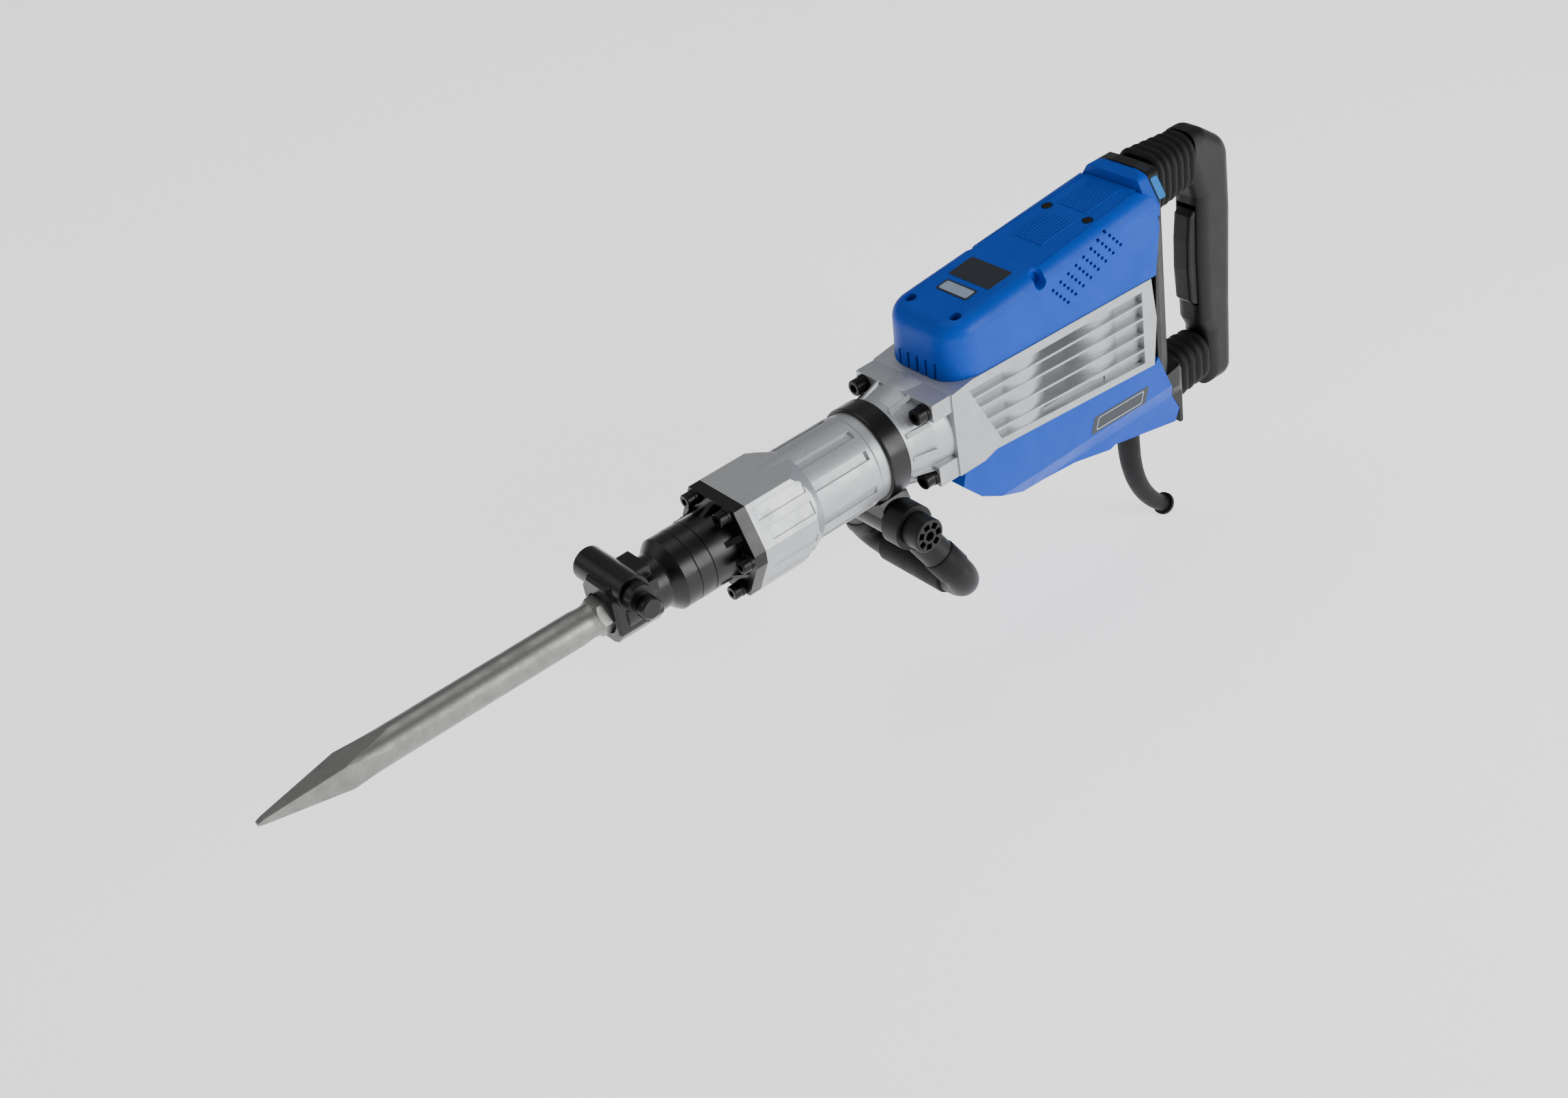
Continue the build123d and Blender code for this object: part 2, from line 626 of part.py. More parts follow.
def make_brush_holders():
    """Two brass brush boxes beside the commutator."""
    with BuildPart() as brush_holders:
        for side in (-1, 1):
            block((MOTOR_X - 7, MOTOR_X + 7), sorted((side * 17, side * 41)), (63, 79))
        for side in (-1, 1):
            block((MOTOR_X - 5, MOTOR_X + 5), sorted((side * 16, side * 39)), (65, 77), Mode.SUBTRACT)
    write_piece(brush_holders, "brush_holders")


def make_brushes():
    """Two carbon brushes on the commutator."""
    with BuildPart() as brushes:
        for side in (-1, 1):
            block((MOTOR_X - 4.8, MOTOR_X + 4.8), sorted((side * 15.1, side * 33)), (65.2, 76.8))
    write_piece(brushes, "brushes")


# ---------------------------------------------------------------- housing
def make_crankcase():
    """Cast crank and motor housing with ribbed side panels."""
    with BuildPart() as crankcase:
        slab_y([(FLANGE_X1, -38.5), (FLANGE_X1, 45), (376, 48.5), (601, 40.5), (606, -3), (600.5, -51),
                (395, -34), (380, -38.5)], -BODY_Y, BODY_Y)
        fillet(crankcase.edges().filter_by(Axis.Y).group_by(Axis.X)[-1], 1.5)
        for side in (-1, 1):
            field = [(370, 39.5), (588, 32.5), (588, -43), (402, -27)]
            slab_y(field, *sorted((side * 29, side * 51)), Mode.SUBTRACT)
        for x, radius in ((CRANK_X, 49), (MOTOR_X + 6, 46.5)):
            bar_z(-32, 38, radius, x)
        block((372, CRANK_X), (-PANEL_FLOOR_Y, PANEL_FLOOR_Y), (-40, 36))
        block((MOTOR_X + 6, 590), (-PANEL_FLOOR_Y, PANEL_FLOOR_Y), (-42, 34))
        for side in (-1, 1):
            reach = sorted((side * 28, side * BODY_Y))
            for front, rear in (((375, 28.7), (589, 20.7)), ((380, 16), (589, 4.7)),
                                ((385, 0), (589, -12)), ((392, -15.5), (589, -28.5))):
                slab_y([(front[0], front[1] - 1.1), (rear[0], rear[1] - 1.1), (rear[0], rear[1] + 1.1),
                        (front[0], front[1] + 1.1)], *reach)
            slab_y([(362, 33), (367, 33), (389, -20), (384, -20)], *reach)
        block((402, 576), (-42, 42), (-46, -30))
        bar_z(-18, 50, 44.8, CRANK_X, mode=Mode.SUBTRACT)
        bar_z(-55, -46, 17, MOTOR_X, mode=Mode.SUBTRACT)
        bar_z(-30.5, -17.5, 44.8, CRANK_X, mode=Mode.SUBTRACT)
        bar_x(FLANGE_X1 - 1, CRANK_X, 33, mode=Mode.SUBTRACT)
        bar_z(-30.5, -17.5, 17, LAY_X, mode=Mode.SUBTRACT)
        bar_z(-47, -32, 17.5, CRANK_X, mode=Mode.SUBTRACT)
        bar_z(-47, -30, 11, CRANK_X, mode=Mode.SUBTRACT)
        bar_z(-47, -32.5, 37, LAY_X, mode=Mode.SUBTRACT)
        bar_z(-34, -30, 10, LAY_X, mode=Mode.SUBTRACT)
        bar_z(-18, -8, 11, LAY_X, mode=Mode.SUBTRACT)
        bar_z(-6, 60, STATOR_R + 0.3, MOTOR_X, mode=Mode.SUBTRACT)
        bar_z(-19, -5, 16, MOTOR_X, mode=Mode.SUBTRACT)
        bar_z(-47, -18, 11, MOTOR_X, mode=Mode.SUBTRACT)
        for y, z in rear_bolt_places():
            bar_x(FLANGE_X1 - 1, 374, 5.1, y, z, Mode.SUBTRACT)
    write_piece(crankcase, "crankcase")


def make_crank_lid():
    """Plate that closes the crank chamber from above."""
    with BuildPart() as crank_lid:
        bar_z(36, 42, 44.8, CRANK_X)
        block((CRANK_X - 20, CRANK_X + 20), (-20, 20), (42, 46))
    write_piece(crank_lid, "crank_lid")


def make_gear_case():
    """Lower casting that carries the lower bearings and closes the gear chamber."""
    with BuildPart() as gear_case:
        with BuildSketch(Plane.XY.offset(-60)) as plan:
            with Locations((LAY_X, 0)):
                Circle(40)
            with Locations((CRANK_X, 0)):
                Circle(21)
            with Locations((MOTOR_X, 0)):
                Circle(16)
        extrude(plan.sketch, amount=14)
        bar_z(-58, -45, 15, CRANK_X, mode=Mode.SUBTRACT)
        bar_z(-57, -45, 11, LAY_X, mode=Mode.SUBTRACT)
        bar_z(-57, -45, 9, MOTOR_X, mode=Mode.SUBTRACT)
    write_piece(gear_case, "gear_case")


def cover_top_plane(drop=0.0):
    """Sloping roof plane of the upper cover."""
    tilt = radians(COVER_SLOPE)
    roof = Plane(origin=(COVER_TOP_X, 0, COVER_TOP_Z), x_dir=(cos(tilt), 0, sin(tilt)),
                 z_dir=(-sin(tilt), 0, cos(tilt)))
    return roof.offset(-drop)


def upper_cover_volume(inset):
    """Closed outer form of the upper cover, moved inwards by the inset."""
    with BuildPart() as volume:
        with BuildSketch(Plane.XY.offset(36)) as plan:
            with BuildLine():
                Polyline([(357 + inset, -COVER_Y - 2 + inset), (621, -COVER_Y - 2 + inset),
                          (621, COVER_Y + 2 - inset), (357 + inset, COVER_Y + 2 - inset)], close=True)
            make_face()
            fillet(plan.vertices().group_by(Axis.X)[0], 32 - inset)
        extrude(plan.sketch, amount=100, taper=3)
        split(bisect_by=cover_top_plane(inset), keep=Keep.BOTTOM)
        roof = volume.faces().sort_by(Axis.Z)[-1]
        fillet(roof.edges(), 15 - inset)
    return volume.part


def rear_arch(outline):
    """Crowned rear section shared by the upper cover and the rear frame, cut to an (x, z) outline."""
    with BuildPart() as arch:
        slab_y(outline, -60, 60)
        with BuildSketch(Plane.YZ.offset(590)) as section:
            with BuildLine():
                Polyline([(-49.5, 36), (-45, 104), (-30, 130), (-12, ARCH_TOP_Z), (12, ARCH_TOP_Z),
                          (30, 130), (45, 104), (49.5, 36), (49.5, -86), (38, -108), (36, -150), (-36, -150),
                          (-38, -108), (-49.5, -86)], close=True)
            make_face()
            high = section.vertices().filter_by(lambda v: v.Y > 100 or v.Z > 100)
            fillet(high, 8)
        extrude(section.sketch, amount=75, mode=Mode.INTERSECT)
    return arch.part


def recess_wall(side):
    """Solid corner of the upper cover around the screw recess of one side."""
    with BuildPart() as wall:
        add(upper_cover_volume(0))
        block((458.5, 477.5), sorted((side * 29, side * 60)), (86, 130), Mode.INTERSECT)
    return wall.part


def make_upper_cover():
    """Upper blue cover over the crank and motor, with vents and screw recesses."""
    with BuildPart() as upper_cover:
        add(upper_cover_volume(0))
        add(rear_arch([(597, 95), (609.4, 118), (610.4, 129), (624, 133), (624, 95)]))
        add(upper_cover_volume(WALL), mode=Mode.SUBTRACT)
        for side in (-1, 1):
            add(recess_wall(side))
        seam = [(340, 30), (340, 45.2), (350, 45.2), (376, 48.7), (608.5, 40.4), (622.5, 104), (622.5, 140),
                (660, 140), (660, 30)]
        slab_y(seam, -60, 60, Mode.SUBTRACT)
        with BuildSketch(cover_top_plane().offset(8)) as lid_recess:
            with BuildLine():
                Polyline([(92, -36), (227.5, -30), (227.5, 30), (92, 36)], close=True)
            make_face()
        extrude(lid_recess.sketch, amount=-11, mode=Mode.SUBTRACT)
        for x, y in ((COVER_TOP_X, 27.8), (COVER_TOP_X, -27.8)):
            z_top = COVER_TOP_Z - 2
            bar_z(COVER_TOP_Z - 14, z_top, 8, x, y)
            bar_z(COVER_TOP_Z - 10, z_top + 8, 5.6, x, y, Mode.SUBTRACT)
            bar_z(COVER_TOP_Z - 20, z_top, 2.4, x, y, Mode.SUBTRACT)
        for k in range(5):
            y = -22 + 11 * k
            block((350, 372), (y - 1.2, y + 1.2), (45, 62), Mode.SUBTRACT)
        for side in (-1, 1):
            for row in range(8):
                for cell in range(5):
                    x = 481 + 10.1 * row + 4 * cell
                    z = 84.4 + 3.5 * row - 4.8 * cell
                    through = sorted((side * 30, side * 60))
                    block((x - 1.6, x + 1.6), through, (z - 1.4, z + 1.4), Mode.SUBTRACT)
            bar_y(*sorted((side * 34, side * 60)), 6.5, 468, 98, Mode.SUBTRACT)
            bar_z(98, 125, 6.5, 468, side * 41, Mode.SUBTRACT)
    write_piece(upper_cover, "upper_cover")


def make_access_lid():
    """Removable lid in the roof of the upper cover, over the brushes."""
    with BuildPart() as access_lid:
        with BuildSketch(cover_top_plane(3)) as plan:
            with BuildLine():
                Polyline([(92.4, -35.6), (227.1, -29.6), (227.1, 29.6), (92.4, 35.6)], close=True)
            make_face()
        extrude(plan.sketch, amount=2.6)
        with BuildSketch(cover_top_plane(0.4)) as grips:
            for start, count in ((118, 9), (176, 9)):
                for k in range(count):
                    with Locations((start + 22, -16 + 4 * k)):
                        Rectangle(44, 1.6)
        extrude(grips.sketch, amount=0.7)
        with BuildSketch(cover_top_plane(-2)) as holes:
            with Locations((168.6, 24.7), (168.6, -24.7)):
                Circle(5.4)
        extrude(holes.sketch, amount=-3.6, mode=Mode.SUBTRACT)
        with BuildSketch(cover_top_plane(-2)) as pilots:
            with Locations((168.6, 24.7), (168.6, -24.7)):
                Circle(2.4)
        extrude(pilots.sketch, amount=-8, mode=Mode.SUBTRACT)
    write_piece(access_lid, "access_lid")


def make_cover_screws():
    """Screws of the upper cover and its lid."""
    with BuildPart() as cover_screws:
        for y in (-27.8, 27.8):
            bar_z(COVER_TOP_Z - 10, COVER_TOP_Z - 6.5, 4.6, COVER_TOP_X, y)
            bar_z(COVER_TOP_Z - 26, COVER_TOP_Z - 10, 2.2, COVER_TOP_X, y)
        with BuildSketch(cover_top_plane(1.6)) as heads:
            with Locations((168.6, 24.7), (168.6, -24.7)):
                Circle(4.6)
        extrude(heads.sketch, amount=1.4)
        with BuildSketch(cover_top_plane(1.6)) as shanks:
            with Locations((168.6, 24.7), (168.6, -24.7)):
                Circle(2.2)
        extrude(shanks.sketch, amount=-12)
    write_piece(cover_screws, "cover_screws")


def make_lower_cover():
    """Lower blue cover under the gear case, with the cord outlet."""
    outline = [(356, -39), (352, -52), (372, -73), (430, -105), (500, -112), (548, -124), (556, -122),
               (640, -141), (646, -128), (622, -84), (606.5, -46), (601, -51.3), (395, -34.3), (380, -38.8)]
    inner = [(362, -39), (359, -50), (375, -69), (432, -101.5), (501, -108.5), (550, -120), (636, -137),
             (640, -128), (616, -84), (600, -50), (395, -30), (380, -33)]
    half = COVER_Y + 2
    section = [(-half, -20), (-half, -86), (-38, -108), (-36, -150), (36, -150), (38, -108), (half, -86),
               (half, -20)]
    inner_section = [(y * (1 - WALL / half), z + WALL * (z < -50)) for y, z in section]
    with BuildPart() as core:
        slab_y(inner, -COVER_Y, COVER_Y)
        slab_x(inner_section, 340, 660, Mode.INTERSECT)
    with BuildPart() as lower_cover:
        slab_y(outline, -half, half)
        slab_x(section, 340, 660, Mode.INTERSECT)
        add(core.part, mode=Mode.SUBTRACT)
        block((600, 660), (-34, 34), (-126, -50), Mode.SUBTRACT)
        bar_z(-160, -110, 13, CORD_X, mode=Mode.SUBTRACT)
    write_piece(lower_cover, "lower_cover")


def make_rear_frame():
    """Black rear frame that closes the covers and carries the handle guides."""
    outline = [(623, 134), (634, 134), (643, 127), (644, 110), (644, -78), (657, -90), (657, -146),
               (648, -146), (646.4, -128), (622.4, -84), (606.9, -46), (606.4, -3), (608.9, 40.4), (622.9, 104)]
    waist = [(600, -50), (613, -48), (623, -44), (632, -37), (640, -27), (645, -17)]
    foot = [(600, -50), (640, -44), (652, -36), (658, -28)]
    with BuildPart() as rear_frame:
        add(rear_arch(outline))
        slab_z(waist + [(x, -y) for x, y in reversed(waist)], -75, 140, Mode.INTERSECT)
        add(frame_foot(outline, foot))
        block((600, 638), (-24, 24), (-98, 88), Mode.SUBTRACT)
        for z in (GUIDE_TOP_Z, GUIDE_LOW_Z):
            bar_x(600, 636, 10, 0, z, Mode.SUBTRACT)
            bar_x(630, 660, 6, 0, z, Mode.SUBTRACT)
    write_piece(rear_frame, "rear_frame")


def frame_foot(outline, plan):
    """Lower end of the rear frame, wider at the back to seat the lower bellows."""
    with BuildPart() as foot_part:
        add(rear_arch(outline))
        slab_z(plan + [(x, -y) for x, y in reversed(plan)], -150, -74, Mode.INTERSECT)
    return foot_part.part


# ---------------------------------------------------------------- rear handle
def make_bellows(label, x0, x1, z_mid, height, width, folds):
    """Rubber bellows between the rear frame and the handle, hollow for the spring."""
    pitch = (x1 - x0) / folds
    with BuildPart() as bellows:
        with BuildSketch(Plane.YZ.offset(x0)) as core:
            with Locations((0, z_mid)):
                RectangleRounded(width - 7, height - 7, 15)
        extrude(core.sketch, amount=x1 - x0)
        for k in range(folds):
            with BuildSketch(Plane.YZ.offset(x0 + pitch * k + pitch * 0.15)) as fold:
                with Locations((0, z_mid)):
                    RectangleRounded(width, height, 18)
            extrude(fold.sketch, amount=pitch * 0.6)
        bar_x(x0 - 1, x1 + 1, 17, 0, z_mid, Mode.SUBTRACT)
    write_piece(bellows, label)


def make_handle_springs():
    """Coil springs round the two guide rods."""
    with BuildPart() as handle_springs:
        for x0, x1, z in ((654, 699, GUIDE_TOP_Z), (661, 711, GUIDE_LOW_Z)):
            with BuildLine() as coil:
                Helix(pitch=7, height=x1 - x0 - 3, radius=12, center=(x0 + 1.5, 0, z), direction=(1, 0, 0))
            with BuildSketch(Plane(origin=coil.line @ 0, z_dir=coil.line % 0)) as wire:
                Circle(1.4)
            sweep(wire.sketch, path=coil.line)
    write_piece(handle_springs, "handle_springs")


def make_guide_rods():
    """Two guide rods fixed in the rear frame on which the handle slides."""
    with BuildPart() as guide_rods:
        for z in (GUIDE_TOP_Z, GUIDE_LOW_Z):
            bar_x(626, 725, 6, 0, z)
            bar_x(626, 636, 9, 0, z)
    write_piece(guide_rods, "guide_rods")


def make_rear_handle():
    """D-shaped rear handle that slides on the guide rods."""
    with BuildPart() as rear_handle:
        with BuildSketch(Plane.XZ) as outline:
            with BuildLine():
                Polyline([(701, GRIP_TOP_Z), (716, GRIP_TOP_Z), (GRIP_X1 + 1, GRIP_TOP_Z - 26),
                          (GRIP_X1 + 3, 40), (GRIP_X1, -60), (GRIP_X1 - 1, GRIP_LOW_Z), (713, GRIP_LOW_Z),
                          (713, WINDOW_LOW_Z), (GRIP_X0 + 2, WINDOW_LOW_Z + 14), (GRIP_X0, 0),
                          (GRIP_X0 + 2, WINDOW_TOP_Z - 14), (701, WINDOW_TOP_Z)], close=True)
            make_face()
        extrude(outline.sketch, amount=19, both=True)
        corners = rear_handle.edges().filter_by(Axis.Y)
        fillet(corners.filter_by(lambda e: e.center().X > 748 and e.center().Z > 90), 30)
        fillet(corners.filter_by(lambda e: 714 < e.center().X < 720), 18)
        fillet(corners.filter_by(lambda e: e.center().X > 748 and e.center().Z < -90), 15)
        rim = rear_handle.edges().filter_by(lambda e: abs(abs(e.center().Y) - 19) < 0.1)
        fillet(rim.filter_by(lambda e: e.center().X > 702), 13)
        for z in (GUIDE_TOP_Z, GUIDE_LOW_Z):
            bar_x(700, 738, 6 + FIT, 0, z, Mode.SUBTRACT)
        block((690, 728), (-11.5, 11.5), (-52, 56), Mode.SUBTRACT)
    write_piece(rear_handle, "rear_handle")


def make_trigger():
    """Paddle trigger in the front of the grip, hinged at its upper end."""
    with BuildPart() as trigger:
        slab_y([(698, -44), (702, -49), (714, -49), (714, 47), (706, 51), (700, 46), (697, 20), (696, -10)],
               -11, 11)
        rim = trigger.edges().filter_by(lambda e: abs(abs(e.center().Y) - 11) < 0.1)
        fillet(rim.filter_by(lambda e: e.center().X < 706), 4)
        bar_y(-12, 12, 2.55, TRIGGER_PIVOT_X, TRIGGER_PIVOT_Z, Mode.SUBTRACT)
    write_piece(trigger, "trigger")


def make_trigger_pin():
    """Pivot pin of the trigger."""
    with BuildPart() as trigger_pin:
        bar_y(-11.5, 11.5, 2.5, TRIGGER_PIVOT_X, TRIGGER_PIVOT_Z)
    write_piece(trigger_pin, "trigger_pin")


def make_switch():
    """Power switch behind the trigger."""
    with BuildPart() as switch:
        block((721.5, 727.8), (-10, 10), (-40, 10))
        block((719, 722), (-4, 4), (20 - 44, -12))
    write_piece(switch, "switch")


# ---------------------------------------------------------------- cord outlet
def make_cord_guard():
    """Curved rubber cord guard with a collar inside the cover and a flared, open end."""
    stations = [(611.5, -158, 0, 11.2), (613, -185, 9, 10.8), (619, -212, 22, 10.0), (631, -237, 36, 9.2),
                (648, -258, 50, 8.4)]
    mouth_lean = sin(radians(50)), 0, -cos(radians(50))
    with BuildPart() as cord_guard:
        for x, z, lean, radius in stations:
            with BuildSketch(Plane(origin=(x, 0, z), z_dir=(sin(radians(lean)), 0, -cos(radians(lean))))):
                Circle(radius)
        loft()
        bar_z(-158, -126, 11.2, CORD_X)
        bar_z(-127, -122, 15, CORD_X)
        with BuildSketch(Plane(origin=(648, 0, -258), z_dir=mouth_lean)) as end_tube:
            Circle(8.4)
        extrude(end_tube.sketch, amount=12)
        with BuildSketch(Plane(origin=(656, 0, -264.6), z_dir=mouth_lean)) as flare:
            Circle(11.5)
        extrude(flare.sketch, amount=3.4)
        with BuildSketch(Plane(origin=(656, 0, -264.6), z_dir=mouth_lean)) as mouth:
            Circle(5.2)
        extrude(mouth.sketch, amount=14, both=True, mode=Mode.SUBTRACT)
        bar_z(-138, -120, 5.2, CORD_X, mode=Mode.SUBTRACT)
    write_piece(cord_guard, "cord_guard")


# ---------------------------------------------------------------- side handle
def make_clamp_band():
    """Steel clamp band round the barrel."""
    with BuildPart() as clamp_band:
        turned_x([(RING_X0, SEAT_R + 0.3), (RING_X0, 45), (RING_X0 + 1.5, 45.4), (RING_X1 - 1, 45.4),
                  (RING_X1, 44.6), (RING_X1, SEAT_R + 0.3)])
    write_piece(clamp_band, "clamp_band")


def make_clamp_base():
    """Saddle under the band with the cross hub of the side handle."""
    with BuildPart() as clamp_base:
        slab_x([(-26, -38), (-30, -46), (-20, -62), (20, -62), (30, -46), (26, -38)], 275, 307)
        bar_y(-30, 30, HUB_R, CLAMP_X, HUB_Z)
        bar_x(270, 312, 45.5, mode=Mode.SUBTRACT)
        bar_y(-32, 32, 5.5, CLAMP_X, HUB_Z, Mode.SUBTRACT)
    write_piece(clamp_base, "clamp_base")


def make_clamp_bolt():
    """Cross bolt of the hub with its head on the far side."""
    with BuildPart() as clamp_bolt:
        bar_y(-62, 51.5, 5.4, CLAMP_X, HUB_Z)
        with BuildSketch(Plane.XZ.offset(-58)) as head:
            with Locations((CLAMP_X, HUB_Z)):
                RegularPolygon(9, 6)
        extrude(head.sketch, amount=6.5)
    write_piece(clamp_bolt, "clamp_bolt")


def make_loop_handle():
    """Loop of the side handle: two eyes on the hub, two arms and the cross bar."""
    with BuildPart() as loop_handle:
        with BuildLine() as route:
            FilletPolyline([(CLAMP_X, -38, HUB_Z), (LOOP_X, -LOOP_Y, LOOP_Z), (LOOP_X, LOOP_Y, LOOP_Z),
                            (CLAMP_X, 38, HUB_Z)], radius=20)
        start = route.line @ 0
        with BuildSketch(Plane(origin=start, z_dir=route.line % 0)) as section:
            Circle(ARM_R)
        sweep(section.sketch, path=route.line)
        for side in (-1, 1):
            bar_y(*sorted((side * 30.4, side * 50)), EYE_R, CLAMP_X, HUB_Z)
            bar_y(*sorted((side * 50, side * 80)), EYE_R + 0.5, CLAMP_X, HUB_Z, Mode.SUBTRACT)
        bar_y(-52, 52, 5.45, CLAMP_X, HUB_Z, Mode.SUBTRACT)
        bar_y(-30.3, 30.3, 40, CLAMP_X, HUB_Z, Mode.SUBTRACT)
    write_piece(loop_handle, "loop_handle")


def make_side_grip():
    """Soft sleeve on the cross bar of the side handle."""
    with BuildPart() as side_grip:
        bar_y(-40, 40, ARM_R + 2.5, LOOP_X, LOOP_Z)
        fillet(side_grip.edges().filter_by(GeomType.CIRCLE), 2)
        bar_y(-45, 45, ARM_R, LOOP_X, LOOP_Z, Mode.SUBTRACT)
    write_piece(side_grip, "side_grip")


def make_clamp_knob():
    """Round clamp knob with spokes and a hexagonal recess."""
    with BuildPart() as clamp_knob:
        bar_y(-70, -51.5, 16, CLAMP_X, HUB_Z)
        fillet(clamp_knob.faces().sort_by(Axis.Y)[0].edges(), 2)
        with BuildSketch(Plane.XZ.offset(71)) as pockets:
            with Locations((CLAMP_X, HUB_Z)):
                with PolarLocations(10, 7):
                    Rectangle(5.5, 6)
        extrude(pockets.sketch, amount=-6, mode=Mode.SUBTRACT)
        with BuildSketch(Plane.XZ.offset(71)) as socket:
            with Locations((CLAMP_X, HUB_Z)):
                RegularPolygon(5, 6)
        extrude(socket.sketch, amount=-7, mode=Mode.SUBTRACT)
        bar_y(-62.5, -49, 5.5, CLAMP_X, HUB_Z, Mode.SUBTRACT)
    write_piece(clamp_knob, "clamp_knob")


def main():
    """Write every piece of the hammer."""
    os.makedirs("parts", exist_ok=True)
    make_chisel()
    make_front_cover()
    make_stop_lever()
    make_retainer_cap()
    make_tool_sleeve()
    make_cap_screws("front_bolts", front_bolt_places(), 112, 6.5, 8, 3.9, 164, 6)
    make_barrel_case()
    make_cap_screws("rear_bolts", rear_bolt_places(), 315, 7.5, 10, 4.9, 372, 8)
    make_washers()
    make_anvil_guide()
    make_impact_bolt()
    make_damper_ring()
    make_cylinder_liner()
    make_ram()
    make_ring_seal("ram_seal", 212, 216, 27)
    make_piston()
    make_ring_seal("piston_seal", 249, 253, 27)
    make_piston_pins()
    make_connecting_rod()
    make_crankshaft()
    make_crank_gear()
    make_bearings("crank_bearings", CRANK_X, ((-44, -32, 10, 17.5), (-58, -48, 10, 15)))
    make_layshaft()
    make_layshaft_gear()
    make_bearings("layshaft_bearings", LAY_X, ((-17, -9, 6, 11), (-56, -48, 6, 11)))
    make_motor_shaft()
    make_armature_core()
    make_armature_windings()
    make_commutator()
    make_fan()
    make_bearings("motor_bearings", MOTOR_X, ((-18, -7, 6, 16), (93, 101, 5, 13)))
    make_stator()
    make_field_coils()
    make_motor_frame()
    make_brush_holders()
    make_brushes()
    make_crankcase()
    make_crank_lid()
    make_gear_case()
    make_upper_cover()
    make_access_lid()
    make_cover_screws()
    make_lower_cover()
    make_rear_frame()
    make_bellows("bellows_upper", 644.2, 700.7, 106, 59, 56, 6)
    make_bellows("bellows_lower", 657.2, 712.7, GUIDE_LOW_Z, 56, 50, 5)
    make_handle_springs()
    make_guide_rods()
    make_rear_handle()
    make_trigger()
    make_trigger_pin()
    make_switch()
    make_cord_guard()
    make_clamp_band()
    make_clamp_base()
    make_clamp_bolt()
    make_loop_handle()
    make_side_grip()
    make_clamp_knob()


main()
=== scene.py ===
"""Looks of the demolition hammer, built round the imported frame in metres."""

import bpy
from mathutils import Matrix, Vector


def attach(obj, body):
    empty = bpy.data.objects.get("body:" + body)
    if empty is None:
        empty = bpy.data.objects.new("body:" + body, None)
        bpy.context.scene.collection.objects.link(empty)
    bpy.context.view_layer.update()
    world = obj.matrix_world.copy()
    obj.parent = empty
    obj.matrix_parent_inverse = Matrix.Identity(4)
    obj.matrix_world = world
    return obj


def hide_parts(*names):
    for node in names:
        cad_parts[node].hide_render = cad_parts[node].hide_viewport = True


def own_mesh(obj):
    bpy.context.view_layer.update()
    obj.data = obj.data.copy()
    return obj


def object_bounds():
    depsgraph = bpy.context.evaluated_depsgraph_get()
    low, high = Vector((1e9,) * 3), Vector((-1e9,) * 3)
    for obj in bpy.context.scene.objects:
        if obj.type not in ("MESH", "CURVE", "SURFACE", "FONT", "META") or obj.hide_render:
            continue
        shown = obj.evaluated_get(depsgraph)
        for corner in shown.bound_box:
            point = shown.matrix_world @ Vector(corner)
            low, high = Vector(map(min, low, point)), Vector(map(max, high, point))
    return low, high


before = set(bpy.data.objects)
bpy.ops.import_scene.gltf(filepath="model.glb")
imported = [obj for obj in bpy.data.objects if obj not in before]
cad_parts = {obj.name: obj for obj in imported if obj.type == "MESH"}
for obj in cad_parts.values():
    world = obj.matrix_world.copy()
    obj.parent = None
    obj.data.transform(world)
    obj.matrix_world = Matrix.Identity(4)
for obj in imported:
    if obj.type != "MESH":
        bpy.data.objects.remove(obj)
CAD_BOX = [list(corner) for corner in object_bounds()]

import logging
import math
from dataclasses import dataclass, field, replace
from enum import Enum

import bmesh
import bpy
from mathutils import Matrix, Vector

LOG = logging.getLogger("hammer")
MM = 0.001
BEVEL_SAMPLES = 4
COAT_ROUGHNESS = 0.25


# ---------------------------------------------------------------- small tools
def linear(hex_colour: str) -> tuple[float, float, float, float]:
    """Turn an sRGB hex colour into a linear one.

    Args:
        hex_colour: six hex digits.

    Returns:
        Linear red, green and blue, and an alpha of one.
    """
    parts = [int(hex_colour[i:i + 2], 16) / 255 for i in (0, 2, 4)]
    bent = [c / 12.92 if c <= 0.04045 else ((c + 0.055) / 1.055) ** 2.4 for c in parts]
    return (*bent, 1.0)


def add_node(tree: bpy.types.NodeTree, kind: str, inputs: dict, **settings) -> bpy.types.Node:
    """Add one shader node.

    Args:
        tree: the material's node tree.
        kind: Blender's node type.
        inputs: socket name or number to a value, or to an output socket to link.
        **settings: attributes of the node itself.

    Returns:
        The new node.
    """
    node = tree.nodes.new(kind)
    for name, value in settings.items():
        setattr(node, name, value)
    for name, value in inputs.items():
        if isinstance(value, bpy.types.NodeSocket):
            tree.links.new(value, node.inputs[name])
        else:
            node.inputs[name].default_value = value
    return node


class Pattern(Enum):
    """What runs over a surface besides its grain."""

    PLAIN = "plain"
    BANDS_X = "X"
    BANDS_Z = "Z"


